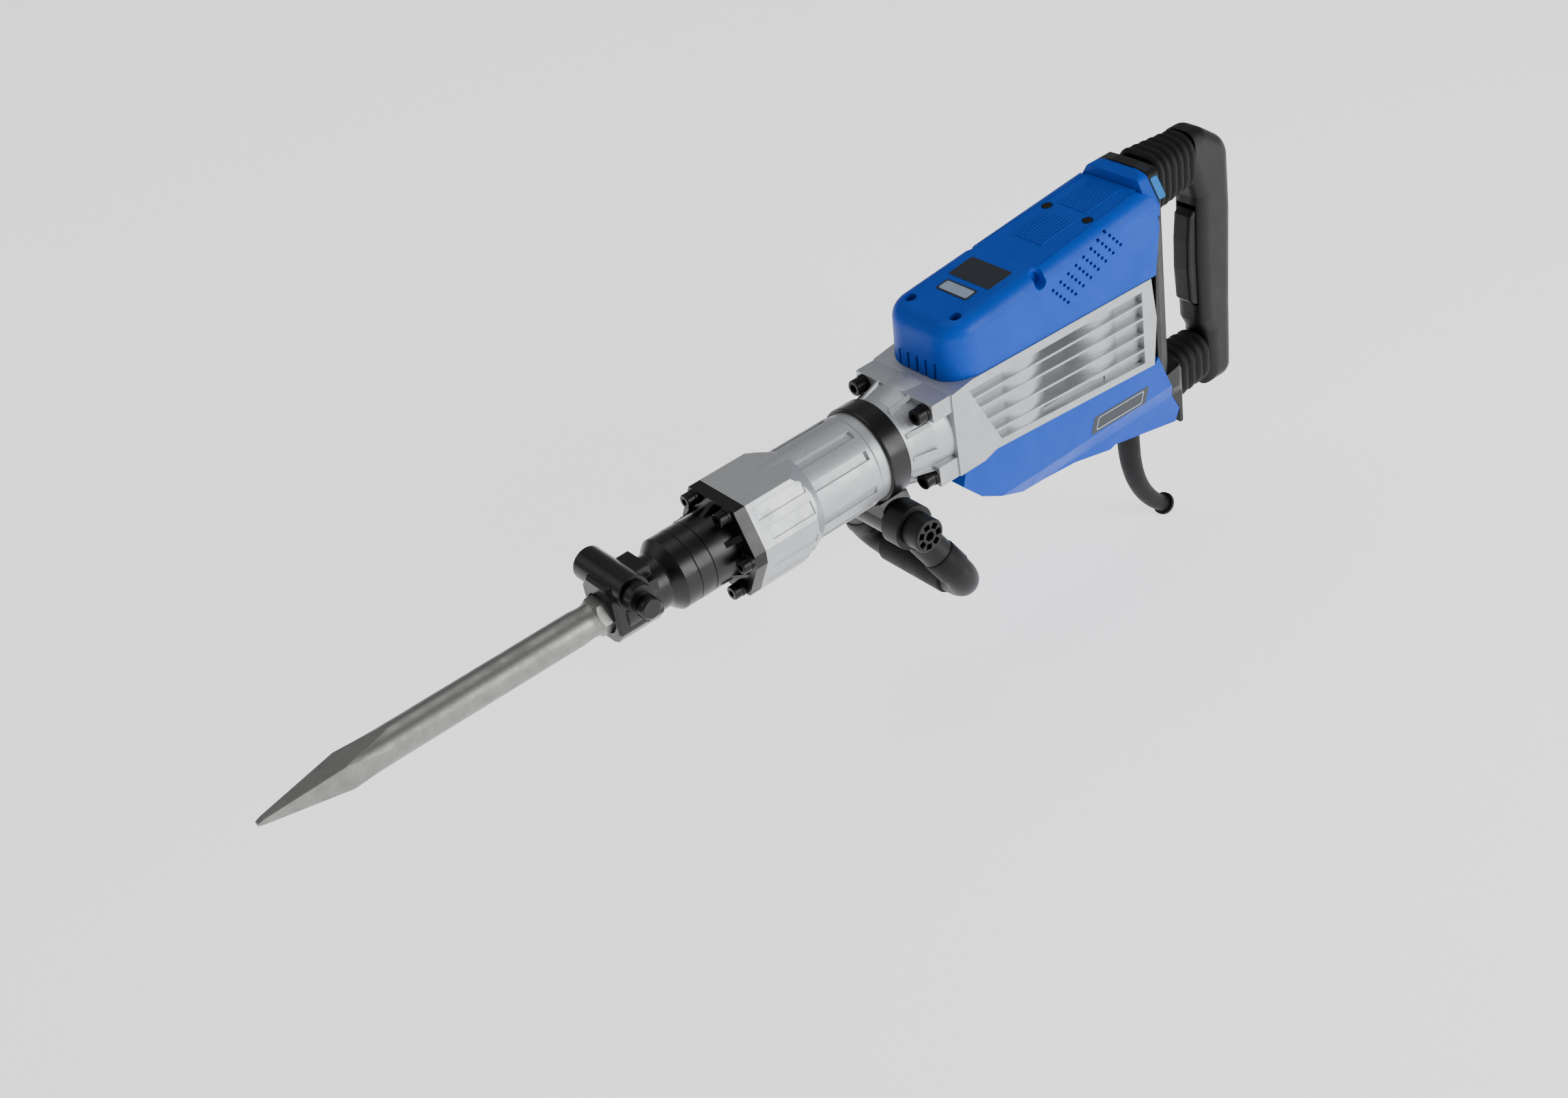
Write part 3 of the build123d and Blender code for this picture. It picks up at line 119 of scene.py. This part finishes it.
@dataclass(frozen=True)
class Finish:
    """A real surface: its colours, gloss and the sizes of its texture in millimetres."""

    name: str
    base: str
    shade: str
    rough: float
    metal: float = 0.0
    grain_mm: float = 1.2
    grain_depth_mm: float = 0.04
    mottle_mm: float = 25.0
    mottle: float = 0.5
    edge_mm: float = 0.6
    worn: str = "808080"
    wear: float = 0.0
    pattern: Pattern = Pattern.PLAIN
    pitch_mm: float = 2.0
    pattern_depth_mm: float = 0.1
    coat: float = 0.0
    specular: float = 0.5

    def material(self) -> bpy.types.Material:
        """Give the Blender material of this finish, made once.

        Returns:
            The material.
        """
        found = bpy.data.materials.get(self.name)
        if found:
            return found
        made = bpy.data.materials.new(self.name)
        made.use_nodes = True
        made.node_tree.nodes.clear()
        self._wire(made.node_tree)
        return made

    def _wire(self, tree: bpy.types.NodeTree) -> None:
        """Build the shader tree.

        Args:
            tree: the empty node tree.
        """
        place = add_node(tree, "ShaderNodeTexCoord", {}).outputs["Object"]
        mottle = add_node(tree, "ShaderNodeTexNoise", {"Vector": place, "Scale": 1 / (self.mottle_mm * MM),
                                                       "Detail": 5.0, "Roughness": 0.62}).outputs["Fac"]
        grain = add_node(tree, "ShaderNodeTexNoise", {"Vector": place, "Scale": 1 / (self.grain_mm * MM),
                                                      "Detail": 2.0, "Roughness": 0.55}).outputs["Fac"]
        spread = self._stretch(tree, mottle, 0.35, 0.68, 0.0, self.mottle)
        colour = self._mix(tree, spread, linear(self.base), linear(self.shade))
        speck = self._stretch(tree, grain, 0.3, 0.7, 0.9, 1.08)
        skin = add_node(tree, "ShaderNodeVectorMath", {0: colour, 1: speck},
                        operation="MULTIPLY").outputs["Vector"]
        rounded = add_node(tree, "ShaderNodeBevel", {"Radius": self.edge_mm * MM},
                           samples=BEVEL_SAMPLES).outputs["Normal"]
        if self.wear > 0:
            skin = self._wear_edges(tree, skin, rounded, mottle)
        gloss = self._stretch(tree, mottle, 0.3, 0.7, max(0.03, self.rough - 0.06),
                              min(1.0, self.rough + 0.07))
        normal = add_node(tree, "ShaderNodeBump", {"Height": grain, "Distance": self.grain_depth_mm * MM,
                                                   "Strength": 1.0, "Normal": rounded}).outputs["Normal"]
        if self.pattern is not Pattern.PLAIN:
            bands_per_metre = math.pi / 10 / (self.pitch_mm * MM)
            wave = add_node(tree, "ShaderNodeTexWave", {"Vector": place, "Scale": bands_per_metre,
                                                        "Distortion": 0.3, "Detail": 1.0},
                            wave_type="BANDS", bands_direction=self.pattern.value).outputs["Fac"]
            depth = self.pattern_depth_mm * MM
            normal = add_node(tree, "ShaderNodeBump", {"Height": wave, "Distance": depth, "Strength": 1.0,
                                                       "Normal": normal}).outputs["Normal"]
        shader = add_node(tree, "ShaderNodeBsdfPrincipled", {
            "Base Color": skin, "Roughness": gloss, "Normal": normal, "Metallic": self.metal,
            "Coat Weight": self.coat, "Coat Roughness": COAT_ROUGHNESS,
            "Specular IOR Level": self.specular})
        add_node(tree, "ShaderNodeOutputMaterial", {"Surface": shader.outputs["BSDF"]})

    @staticmethod
    def _stretch(tree: bpy.types.NodeTree, value: bpy.types.NodeSocket, low: float, high: float,
                 start: float, end: float) -> bpy.types.NodeSocket:
        """Map a value from one range onto another, held at its ends.

        Args:
            tree: the node tree.
            value: the socket to map.
            low: where the range starts.
            high: where it ends.
            start: the result at low.
            end: the result at high.

        Returns:
            The mapped value's socket.
        """
        return add_node(tree, "ShaderNodeMapRange", {"Value": value, "From Min": low, "From Max": high,
                                                     "To Min": start, "To Max": end}).outputs["Result"]

    @staticmethod
    def _mix(tree: bpy.types.NodeTree, factor: bpy.types.NodeSocket, first: bpy.types.NodeSocket | tuple,
             second: bpy.types.NodeSocket | tuple) -> bpy.types.NodeSocket:
        """Mix two colours.

        Args:
            tree: the node tree.
            factor: how much of the second colour, as a socket.
            first: a colour or a socket.
            second: a colour or a socket.

        Returns:
            The mixed colour's socket.
        """
        return add_node(tree, "ShaderNodeMix", {0: factor, 6: first, 7: second}, data_type="RGBA").outputs[2]

    def _wear_edges(self, tree: bpy.types.NodeTree, skin: bpy.types.NodeSocket,
                    rounded: bpy.types.NodeSocket, mottle: bpy.types.NodeSocket) -> bpy.types.NodeSocket:
        """Show the worn colour along the edges, in patches.

        Args:
            tree: the node tree.
            skin: the colour so far.
            rounded: the normal with rounded edges.
            mottle: slow noise that breaks the wear up.

        Returns:
            The colour with wear.
        """
        facing = add_node(tree, "ShaderNodeNewGeometry", {}).outputs["Normal"]
        turn = add_node(tree, "ShaderNodeVectorMath", {0: rounded, 1: facing}, operation="DOT_PRODUCT")
        edge = self._stretch(tree, turn.outputs["Value"], 0.995, 0.86, 0.0, 1.0)
        patch = self._stretch(tree, mottle, 0.42, 0.6, 0.25 * self.wear, self.wear)
        amount = add_node(tree, "ShaderNodeMath", {0: edge, 1: patch}, operation="MULTIPLY").outputs["Value"]
        return self._mix(tree, amount, skin, linear(self.worn))


# ---------------------------------------------------------------- finishes
# Real grains finer than about 1 mm are drawn coarser here, so that they still show from a metre away.
# Shot-blasted forged tool steel: dull light grey, a fine even tooth, no mirror.
BLASTED_STEEL = Finish("blasted_tool_steel", "8F8F8C", "747472", 0.42, 0.9, grain_mm=1.0,
                       grain_depth_mm=0.05, mottle_mm=14, mottle=0.6, worn="E4E4E0", wear=0.5, edge_mm=0.5)
# Phosphated and oiled forged steel: near black with a soft sheen and grey worn edges.
PHOSPHATED_STEEL = Finish("phosphated_steel", "050505", "0B0B0C", 0.3, 0.0, grain_mm=1.4,
                          grain_depth_mm=0.05, mottle_mm=18, worn="5A5A5C", wear=0.35, edge_mm=0.8,
                          specular=0.4)
# Silver stove enamel on a die casting: pale, faintly metallic, slightly pebbled.
SILVER_ENAMEL = Finish("silver_enamel_on_casting", "BABCBE", "A8ABAE", 0.42, 0.65, grain_mm=1.6,
                       grain_depth_mm=0.03, mottle_mm=22, worn="E6E7E8", wear=0.35, edge_mm=1.0)
# Moulded glass-filled nylon, spark-eroded texture: strong blue, semi-matt.
BLUE_NYLON = Finish("moulded_blue_nylon", "0048BE", "0040AE", 0.46, 0.0, grain_mm=1.3,
                    grain_depth_mm=0.05, mottle_mm=30, mottle=0.5, worn="0A62D8", wear=0.2, edge_mm=1.0,
                    specular=0.2)
# The same nylon in black.
BLACK_NYLON = Finish("moulded_black_nylon", "0C0C0D", "121213", 0.48, 0.0, grain_mm=1.3,
                     grain_depth_mm=0.06, mottle_mm=30, worn="3A3A3B", wear=0.3, edge_mm=0.9, specular=0.35)
# Moulded chloroprene rubber: darker and duller than the nylon, a little dusty.
MOULDED_RUBBER = Finish("moulded_rubber", "0A0A0A", "111111", 0.62, 0.0, grain_mm=1.8, grain_depth_mm=0.05,
                        mottle_mm=16, edge_mm=0.8, specular=0.3)
# Blackened cap screws.
BLACK_SCREW = Finish("blackened_screw_steel", "101011", "1A1A1B", 0.33, 0.6, mottle_mm=6, worn="85868A",
                     wear=0.5, edge_mm=0.5)
# Ground and hardened steel: fine turning marks round X.
GROUND_STEEL = Finish("ground_hard_steel", "B9BBBF", "A3A5A9", 0.22, 1.0, mottle_mm=12,
                      pattern=Pattern.BANDS_X, pitch_mm=1.2, pattern_depth_mm=0.01)
# Case-hardened gear steel with an oil film: darker and glossier.
GEAR_STEEL = Finish("oiled_gear_steel", "77797D", "606266", 0.28, 1.0, mottle_mm=10, coat=0.3)
# Unpainted die-cast aluminium: pale and cloudy.
RAW_CASTING = Finish("raw_die_cast_aluminium", "B4B7BA", "9DA0A4", 0.48, 0.9, grain_mm=1.5,
                     grain_depth_mm=0.07, mottle_mm=15)
# Nitrile seals: black, smooth and slightly shiny.
NITRILE = Finish("nitrile_seal", "17171A", "202024", 0.45, 0.0, mottle_mm=8)
# Stacked electrical steel sheets: dark grey with lines across the stack.
LAMINATIONS = Finish("electrical_steel_stack", "55575B", "46484B", 0.45, 0.8, pattern=Pattern.BANDS_Z,
                     pitch_mm=1.6, pattern_depth_mm=0.12)
# Enamelled copper wire laid in turns.
WINDING = Finish("enamelled_copper_turns", "A5581F", "84421A", 0.30, 0.7, pattern=Pattern.BANDS_X,
                 pitch_mm=1.6, pattern_depth_mm=0.3, coat=0.4)
# Turned copper commutator bars.
COMMUTATOR_COPPER = Finish("turned_copper", "C77B4A", "A8623A", 0.25, 1.0, pattern=Pattern.BANDS_Z,
                           pitch_mm=1.0, pattern_depth_mm=0.03)
# Pressed carbon: black and dry.
CARBON = Finish("pressed_carbon", "202022", "18181A", 0.7)
# Stamped brass.
BRASS = Finish("stamped_brass", "C9A14A", "AD8839", 0.3, 1.0, mottle_mm=9)
# Glass-filled moulding of fan and frames: charcoal and dull.
CHARCOAL_NYLON = Finish("charcoal_nylon", "2A2B2D", "343538", 0.55)
# Spring wire, oiled.
SPRING_WIRE = Finish("oiled_spring_wire", "5E6064", "4B4D50", 0.3, 1.0, mottle_mm=5)

NODE_FINISH = {
    BLASTED_STEEL: ("chisel",),
    PHOSPHATED_STEEL: ("front_cover", "retainer_cap", "stop_lever", "clamp_band", "clamp_base"),
    SILVER_ENAMEL: ("barrel_case", "crankcase"),
    BLUE_NYLON: ("upper_cover", "lower_cover", "access_lid"),
    BLACK_NYLON: ("rear_frame", "rear_handle", "trigger", "clamp_knob", "loop_handle"),
    MOULDED_RUBBER: ("cord_guard", "side_grip", "bellows_upper", "bellows_lower"),
    BLACK_SCREW: ("cover_screws", "washers", "front_bolts", "rear_bolts", "clamp_bolt"),
    GROUND_STEEL: ("tool_sleeve", "anvil_guide", "cylinder_liner", "crank_bearings", "layshaft_bearings",
                   "motor_bearings", "guide_rods", "impact_bolt", "ram", "piston_pins", "motor_shaft",
                   "trigger_pin"),
    GEAR_STEEL: ("crankshaft", "crank_gear", "layshaft", "layshaft_gear"),
    RAW_CASTING: ("crank_lid", "gear_case", "piston", "connecting_rod"),
    NITRILE: ("damper_ring", "ram_seal", "piston_seal"),
    LAMINATIONS: ("stator", "armature_core"),
    WINDING: ("field_coils", "armature_windings"),
    COMMUTATOR_COPPER: ("commutator",),
    CARBON: ("brushes",),
    BRASS: ("brush_holders",),
    CHARCOAL_NYLON: ("motor_frame", "fan", "switch"),
    SPRING_WIRE: ("handle_springs",),
}


# ---------------------------------------------------------------- mesh tools
def link(name: str, mesh: bpy.types.Mesh, finish: Finish, body: str) -> bpy.types.Object:
    """Put a finished mesh into the scene as a piece of the tool.

    Args:
        name: the piece's name.
        mesh: its mesh, in metres in the row frame.
        finish: its surface.
        body: the CAD body that it rides on.

    Returns:
        The new object.
    """
    piece = bpy.data.objects.new(name, mesh)
    bpy.context.scene.collection.objects.link(piece)
    mesh.materials.append(finish.material())
    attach(piece, body)
    LOG.info("built %s on %s: %d faces", name, body, len(mesh.polygons))
    return piece


def loft(name: str, rings: list[list[Vector]], smooth: bool = True) -> bpy.types.Mesh:
    """Skin a row of closed rings that have equal numbers of points, and cap both ends.

    Args:
        name: the mesh's name.
        rings: the rings in millimetres, from one end to the other.
        smooth: whether the sides are shaded smooth.

    Returns:
        The closed mesh, in metres.
    """
    bm = bmesh.new()
    rows = [[bm.verts.new(point * MM) for point in ring] for ring in rings]
    count = len(rings[0])
    for first, second in zip(rows, rows[1:]):
        for k in range(count):
            after = (k + 1) % count
            face = bm.faces.new((first[k], first[after], second[after], second[k]))
            face.smooth = smooth
    bm.faces.new(rows[0])
    bm.faces.new(rows[-1])
    bmesh.ops.recalc_face_normals(bm, faces=bm.faces)
    mesh = bpy.data.meshes.new(name)
    bm.to_mesh(mesh)
    bm.free()
    return mesh


def rounded_box_ring(half_w: float, half_h: float, corner: float,
                     steps: int = 7) -> list[tuple[float, float]]:
    """Give the outline of a rectangle with round corners.

    Args:
        half_w: half its width.
        half_h: half its height.
        corner: its corner radius.
        steps: points in each corner.

    Returns:
        Points round it, counter-clockwise.
    """
    points = []
    for quarter, (sx, sy) in enumerate(((1, 1), (-1, 1), (-1, -1), (1, -1))):
        for k in range(steps):
            angle = math.pi / 2 * (quarter + k / (steps - 1))
            points.append((sx * (half_w - corner) + corner * math.cos(angle),
                           sy * (half_h - corner) + corner * math.sin(angle)))
    return points


# ---------------------------------------------------------------- rear handle
@dataclass
class Bellows:
    """Ribbed rubber boot round a guide rod, between the rear frame and the handle, in millimetres."""

    node: str
    x_front: float
    x_rear: float
    centre_z: float
    half_width: float
    half_height: float
    keep: float
    rear_width: float
    folds: int = 5
    fold_depth: float = 4.2
    fold_sharpness: float = 0.45
    rear_drop: float = 1.5
    corner: float = 19.0
    steps: int = 10

    def build(self) -> None:
        """Make the boot and hide the plain solid."""
        rings = []
        for k in range(self.folds * self.steps + 1):
            along = k / (self.folds * self.steps)
            swing = 0.5 - 0.5 * math.cos(2 * math.pi * along * self.folds)
            inset = self.fold_depth * (1 - swing ** self.fold_sharpness)
            x = self.x_front + (self.x_rear - self.x_front) * along
            width = self.half_width + (self.rear_width - self.half_width) * along
            height = self.half_height - self.rear_drop * along
            ring = rounded_box_ring(width - inset, height - inset, self.corner - inset)
            rings.append([Vector((x, y, self.centre_z + z)) for y, z in ring])
        piece = link(f"{self.node}_folds", loft(self.node, rings), MOULDED_RUBBER, "housing")
        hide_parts(self.node)
        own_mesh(piece)


# ---------------------------------------------------------------- films
@dataclass(frozen=True)
class Label:
    """Plain printed film without any text on a flat place, in millimetres."""

    name: str
    centre: tuple[float, float, float]
    along: tuple[float, float, float]
    normal: tuple[float, float, float]
    half: tuple[float, float]
    finish: Finish
    slot: str = "blue_plastic"
    corner: float = 2.0
    thick: float = 0.3
    bed: float = 0.6
    body: str = "housing"
    skew: float = 0.0

    def build(self) -> None:
        """Lay the film on its place."""
        out = Vector(self.normal).normalized()
        along = Vector(self.along).normalized()
        across = out.cross(along)
        outline = rounded_box_ring(*self.half, self.corner, 5)
        rings = [[Vector(self.centre) + along * (u + self.skew * v) + across * v + out * height
                  for u, v in outline] for height in (-self.bed, self.thick)]
        link(self.name, loft(self.name, rings, smooth=False), self.finish, self.body)


# ---------------------------------------------------------------- side handle
@dataclass
class ArmSleeves:
    """Soft covers that start part way down the arms of the loop handle, in millimetres."""

    hub: tuple[float, float] = (290.5, -60.0)
    hub_y: float = 38.0
    corner: tuple[float, float, float] = (333.0, 72.0, -143.0)
    arm_radius: float = 15.0
    skin: float = 1.1
    start: float = 0.46
    end: float = 0.70
    segments: int = 48

    def build(self) -> None:
        """Make a sleeve on each arm."""
        for side in (-1, 1):
            top = Vector((self.hub[0], side * self.hub_y, self.hub[1]))
            low = Vector((self.corner[0], side * self.corner[1], self.corner[2]))
            axis = (low - top).normalized()
            across = axis.cross(Vector((0, 0, 1))).normalized()
            other = axis.cross(across)
            turns = [2 * math.pi * k / self.segments for k in range(self.segments)]
            spokes = [across * math.cos(turn) + other * math.sin(turn) for turn in turns]
            rings = []
            for share, grow in ((self.start, -0.4), (self.start, 0.5), (self.start + 0.012, 1.0),
                                (self.end - 0.02, 1.0), (self.end, -0.4)):
                middle = top + (low - top) * share
                radius = self.arm_radius + self.skin * grow
                rings.append([middle + spoke * radius for spoke in spokes])
            name = "arm_sleeve_near" if side < 0 else "arm_sleeve_far"
            link(name, loft("arm_sleeve", rings), MOULDED_RUBBER, "loop")


# ---------------------------------------------------------------- studio
@dataclass
class Studio:
    """Pale floor, soft lights and the camera."""

    floor_half: float = 4.0
    camera_at: Vector = field(default_factory=lambda: Vector((-591.75, -1162.05, 968.77)) * MM)
    azimuth: float = -33.803
    elevation: float = 35.936
    roll: float = -10.546
    lens_mm: float = 46.30
    floor_glow: float = 1.2
    sky_strength: float = 0.3
    aim: Vector = field(default_factory=lambda: Vector((0.2, 0, 0)))

    def build(self, low_z: float) -> None:
        """Make the floor, the lights, the sky and the camera.

        Args:
            low_z: height of the floor.
        """
        self._floor(low_z)
        self._sky()
        self._light("key_light", place=(1.3, -2.2, 0.8), size=1.4, power=48)
        self._light("top_light", place=(0.5, 0.6, 2.4), size=1.6, power=10)
        self._light("rear_light", place=(-1.4, 1.6, 1.6), size=1.6, power=6)
        self._camera()

    def _floor(self, low_z: float) -> None:
        """Lay the floor.

        Args:
            low_z: its height.
        """
        mesh = bpy.data.meshes.new("floor")
        h = self.floor_half
        corners = [(-h, -h, low_z), (h, -h, low_z), (h, h, low_z), (-h, h, low_z)]
        mesh.from_pydata(corners, [], [(0, 1, 2, 3)])
        floor = bpy.data.objects.new("floor", mesh)
        bpy.context.scene.collection.objects.link(floor)
        paper = Finish("studio_paper", "F4F4F4", "F0F0F0", 0.9, edge_mm=0.1).material()
        shader = next(n for n in paper.node_tree.nodes if n.type == "BSDF_PRINCIPLED")
        shader.inputs["Emission Color"].default_value = linear("FFFFFF")
        shader.inputs["Emission Strength"].default_value = self.floor_glow
        mesh.materials.append(paper)

    def _sky(self) -> None:
        """Light the scene evenly from all round."""
        world = bpy.data.worlds.new("studio")
        world.use_nodes = True
        background = world.node_tree.nodes["Background"]
        background.inputs["Color"].default_value = linear("FBFCFF")
        background.inputs["Strength"].default_value = self.sky_strength
        bpy.context.scene.world = world

    def _light(self, name: str, place: tuple[float, float, float], size: float, power: float) -> None:
        """Hang one soft lamp that faces the tool.

        Args:
            name: the lamp's name.
            place: where it hangs, in metres.
            size: its side in metres.
            power: its power in watts.
        """
        lamp = bpy.data.lights.new(name, "AREA")
        lamp.size = size
        lamp.energy = power
        lamp_object = bpy.data.objects.new(name, lamp)
        bpy.context.scene.collection.objects.link(lamp_object)
        lamp_object.location = place
        lamp_object.rotation_euler = (self.aim - Vector(place)).to_track_quat("-Z", "Y").to_euler()

    def _camera(self) -> None:
        """Set the camera up."""
        az, el, roll = (math.radians(a) for a in (self.azimuth, self.elevation, self.roll))
        back = Vector((math.sin(az) * math.cos(el), -math.cos(az) * math.cos(el), math.sin(el)))
        level = Vector((math.cos(az), math.sin(az), 0))
        upright = back.cross(level)
        right = math.cos(roll) * level + math.sin(roll) * upright
        up = -math.sin(roll) * level + math.cos(roll) * upright
        data = bpy.data.cameras.new("camera")
        data.lens = self.lens_mm
        data.sensor_width = 36
        data.sensor_fit = "HORIZONTAL"
        camera = bpy.data.objects.new("camera", data)
        bpy.context.scene.collection.objects.link(camera)
        turn = Matrix((right, up, back)).transposed().to_4x4()
        camera.matrix_world = Matrix.Translation(self.camera_at) @ turn
        bpy.context.scene.camera = camera


def dress_nodes() -> None:
    """Give every CAD node its finish."""
    for finish, names in NODE_FINISH.items():
        for name in names:
            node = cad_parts[name]
            node.data.materials.clear()
            node.data.materials.append(finish.material())
            for face in node.data.polygons:
                face.material_index = 0
            LOG.info("dressed %s in %s", name, finish.name)


# The roof of the upper cover rises from its front towards the rear; places in millimetres.
ROOF_SLOPE = math.tan(math.radians(5.4))
ROOF_FRONT_X = 382.7
ROOF_FRONT_Z = 99.7
CROWN_X = 628.7
CROWN_FILM_HALF = 4.4
SIDE_FILM_CENTRE = (552, -49.5, -76.5)
SIDE_FILM_ALONG = (1, 0, -0.04)
SIDE_FILM_SKEW = 0.3
# Printed films: the nylon's grain under a clear, glossy print.
DARK_FILM = replace(BLACK_NYLON, name="dark_printed_film", base="0A1420", shade="0E1C2C", rough=0.3,
                    coat=0.4)
PALE_FILM = replace(BLACK_NYLON, name="pale_printed_film", base="8FA3B8", shade="A5B6C8", rough=0.3,
                    coat=0.4)
SKY_FILM = replace(BLUE_NYLON, name="sky_blue_printed_film", base="0C78C8", shade="0A6CBA", rough=0.3,
                   coat=0.4)


def roof_label(name: str, x: float, half: tuple[float, float], finish: Finish, thick: float = 0.3) -> Label:
    """Describe a film on the sloping roof of the upper cover.

    Args:
        name: the piece's name.
        x: where its middle lies along the tool, in millimetres.
        half: half its length along and across the tool.
        finish: its surface.
        thick: how far it stands proud.

    Returns:
        The label.
    """
    height = ROOF_FRONT_Z + (x - ROOF_FRONT_X) * ROOF_SLOPE
    return Label(name, (x, 0, height), (1, 0, ROOF_SLOPE), (-ROOF_SLOPE, 0, 1), half, finish, thick=thick)


def arch_label(name: str, middle: tuple[float, float], out: tuple[float, float], reach: float,
               finish: Finish) -> Label:
    """Describe a film on a facet of the rear frame's crown.

    Args:
        name: the piece's name.
        middle: its middle across and up, in millimetres.
        out: the facet's outward direction across and up.
        reach: half its length round the crown.
        finish: its surface.

    Returns:
        The label.
    """
    return Label(name, (CROWN_X, *middle), (1, 0, 0), (0, *out), (CROWN_FILM_HALF, reach), finish,
                 slot="black_plastic")


def side_label(name: str, half: tuple[float, float], finish: Finish, thick: float = 0.3) -> Label:
    """Describe a film on the near side of the lower cover.

    Args:
        name: the piece's name.
        half: half its length along and up the face.
        finish: its surface.
        thick: how far it stands proud.

    Returns:
        The label.
    """
    return Label(name, SIDE_FILM_CENTRE, SIDE_FILM_ALONG, (0, -1, 0), half, finish, thick=thick,
                 skew=SIDE_FILM_SKEW)


def main() -> None:
    """Dress the tool and set the studio up."""
    logging.basicConfig(level=logging.INFO, format="%(name)s: %(message)s")
    Studio().build(CAD_BOX[0][2])
    dress_nodes()
    Bellows("bellows_upper", x_front=643.8, x_rear=701.2, centre_z=106, half_width=27.8, half_height=29.4,
            keep=0.825, rear_width=21.5, folds=6).build()
    Bellows("bellows_lower", x_front=656.9, x_rear=713.2, centre_z=-112, half_width=24.9, half_height=27.9,
            keep=0.821, rear_width=21.0).build()
    ArmSleeves().build()
    roof_label("roof_label_plate", 441, (15, 25), DARK_FILM).build()
    roof_label("roof_label_small", 412, (8, 19), DARK_FILM).build()
    roof_label("roof_label_inner", 412, (6, 17), PALE_FILM, thick=0.45).build()
    arch_label("arch_label_dark", (-19.8, 132.3), (-0.217, 0.976), 6.4, DARK_FILM).build()
    arch_label("arch_label_sky", (-37.5, 117.0), (-0.866, 0.5), 10.5, SKY_FILM).build()
    side_label("side_label_plate", (37, 8.5), DARK_FILM, thick=0.12).build()
    side_label("side_label_panel", (31, 6.4), PALE_FILM, thick=0.22).build()
    side_label("side_label_inner", (29.8, 5.2), DARK_FILM, thick=0.32).build()


if __name__ == "__main__":
    main()
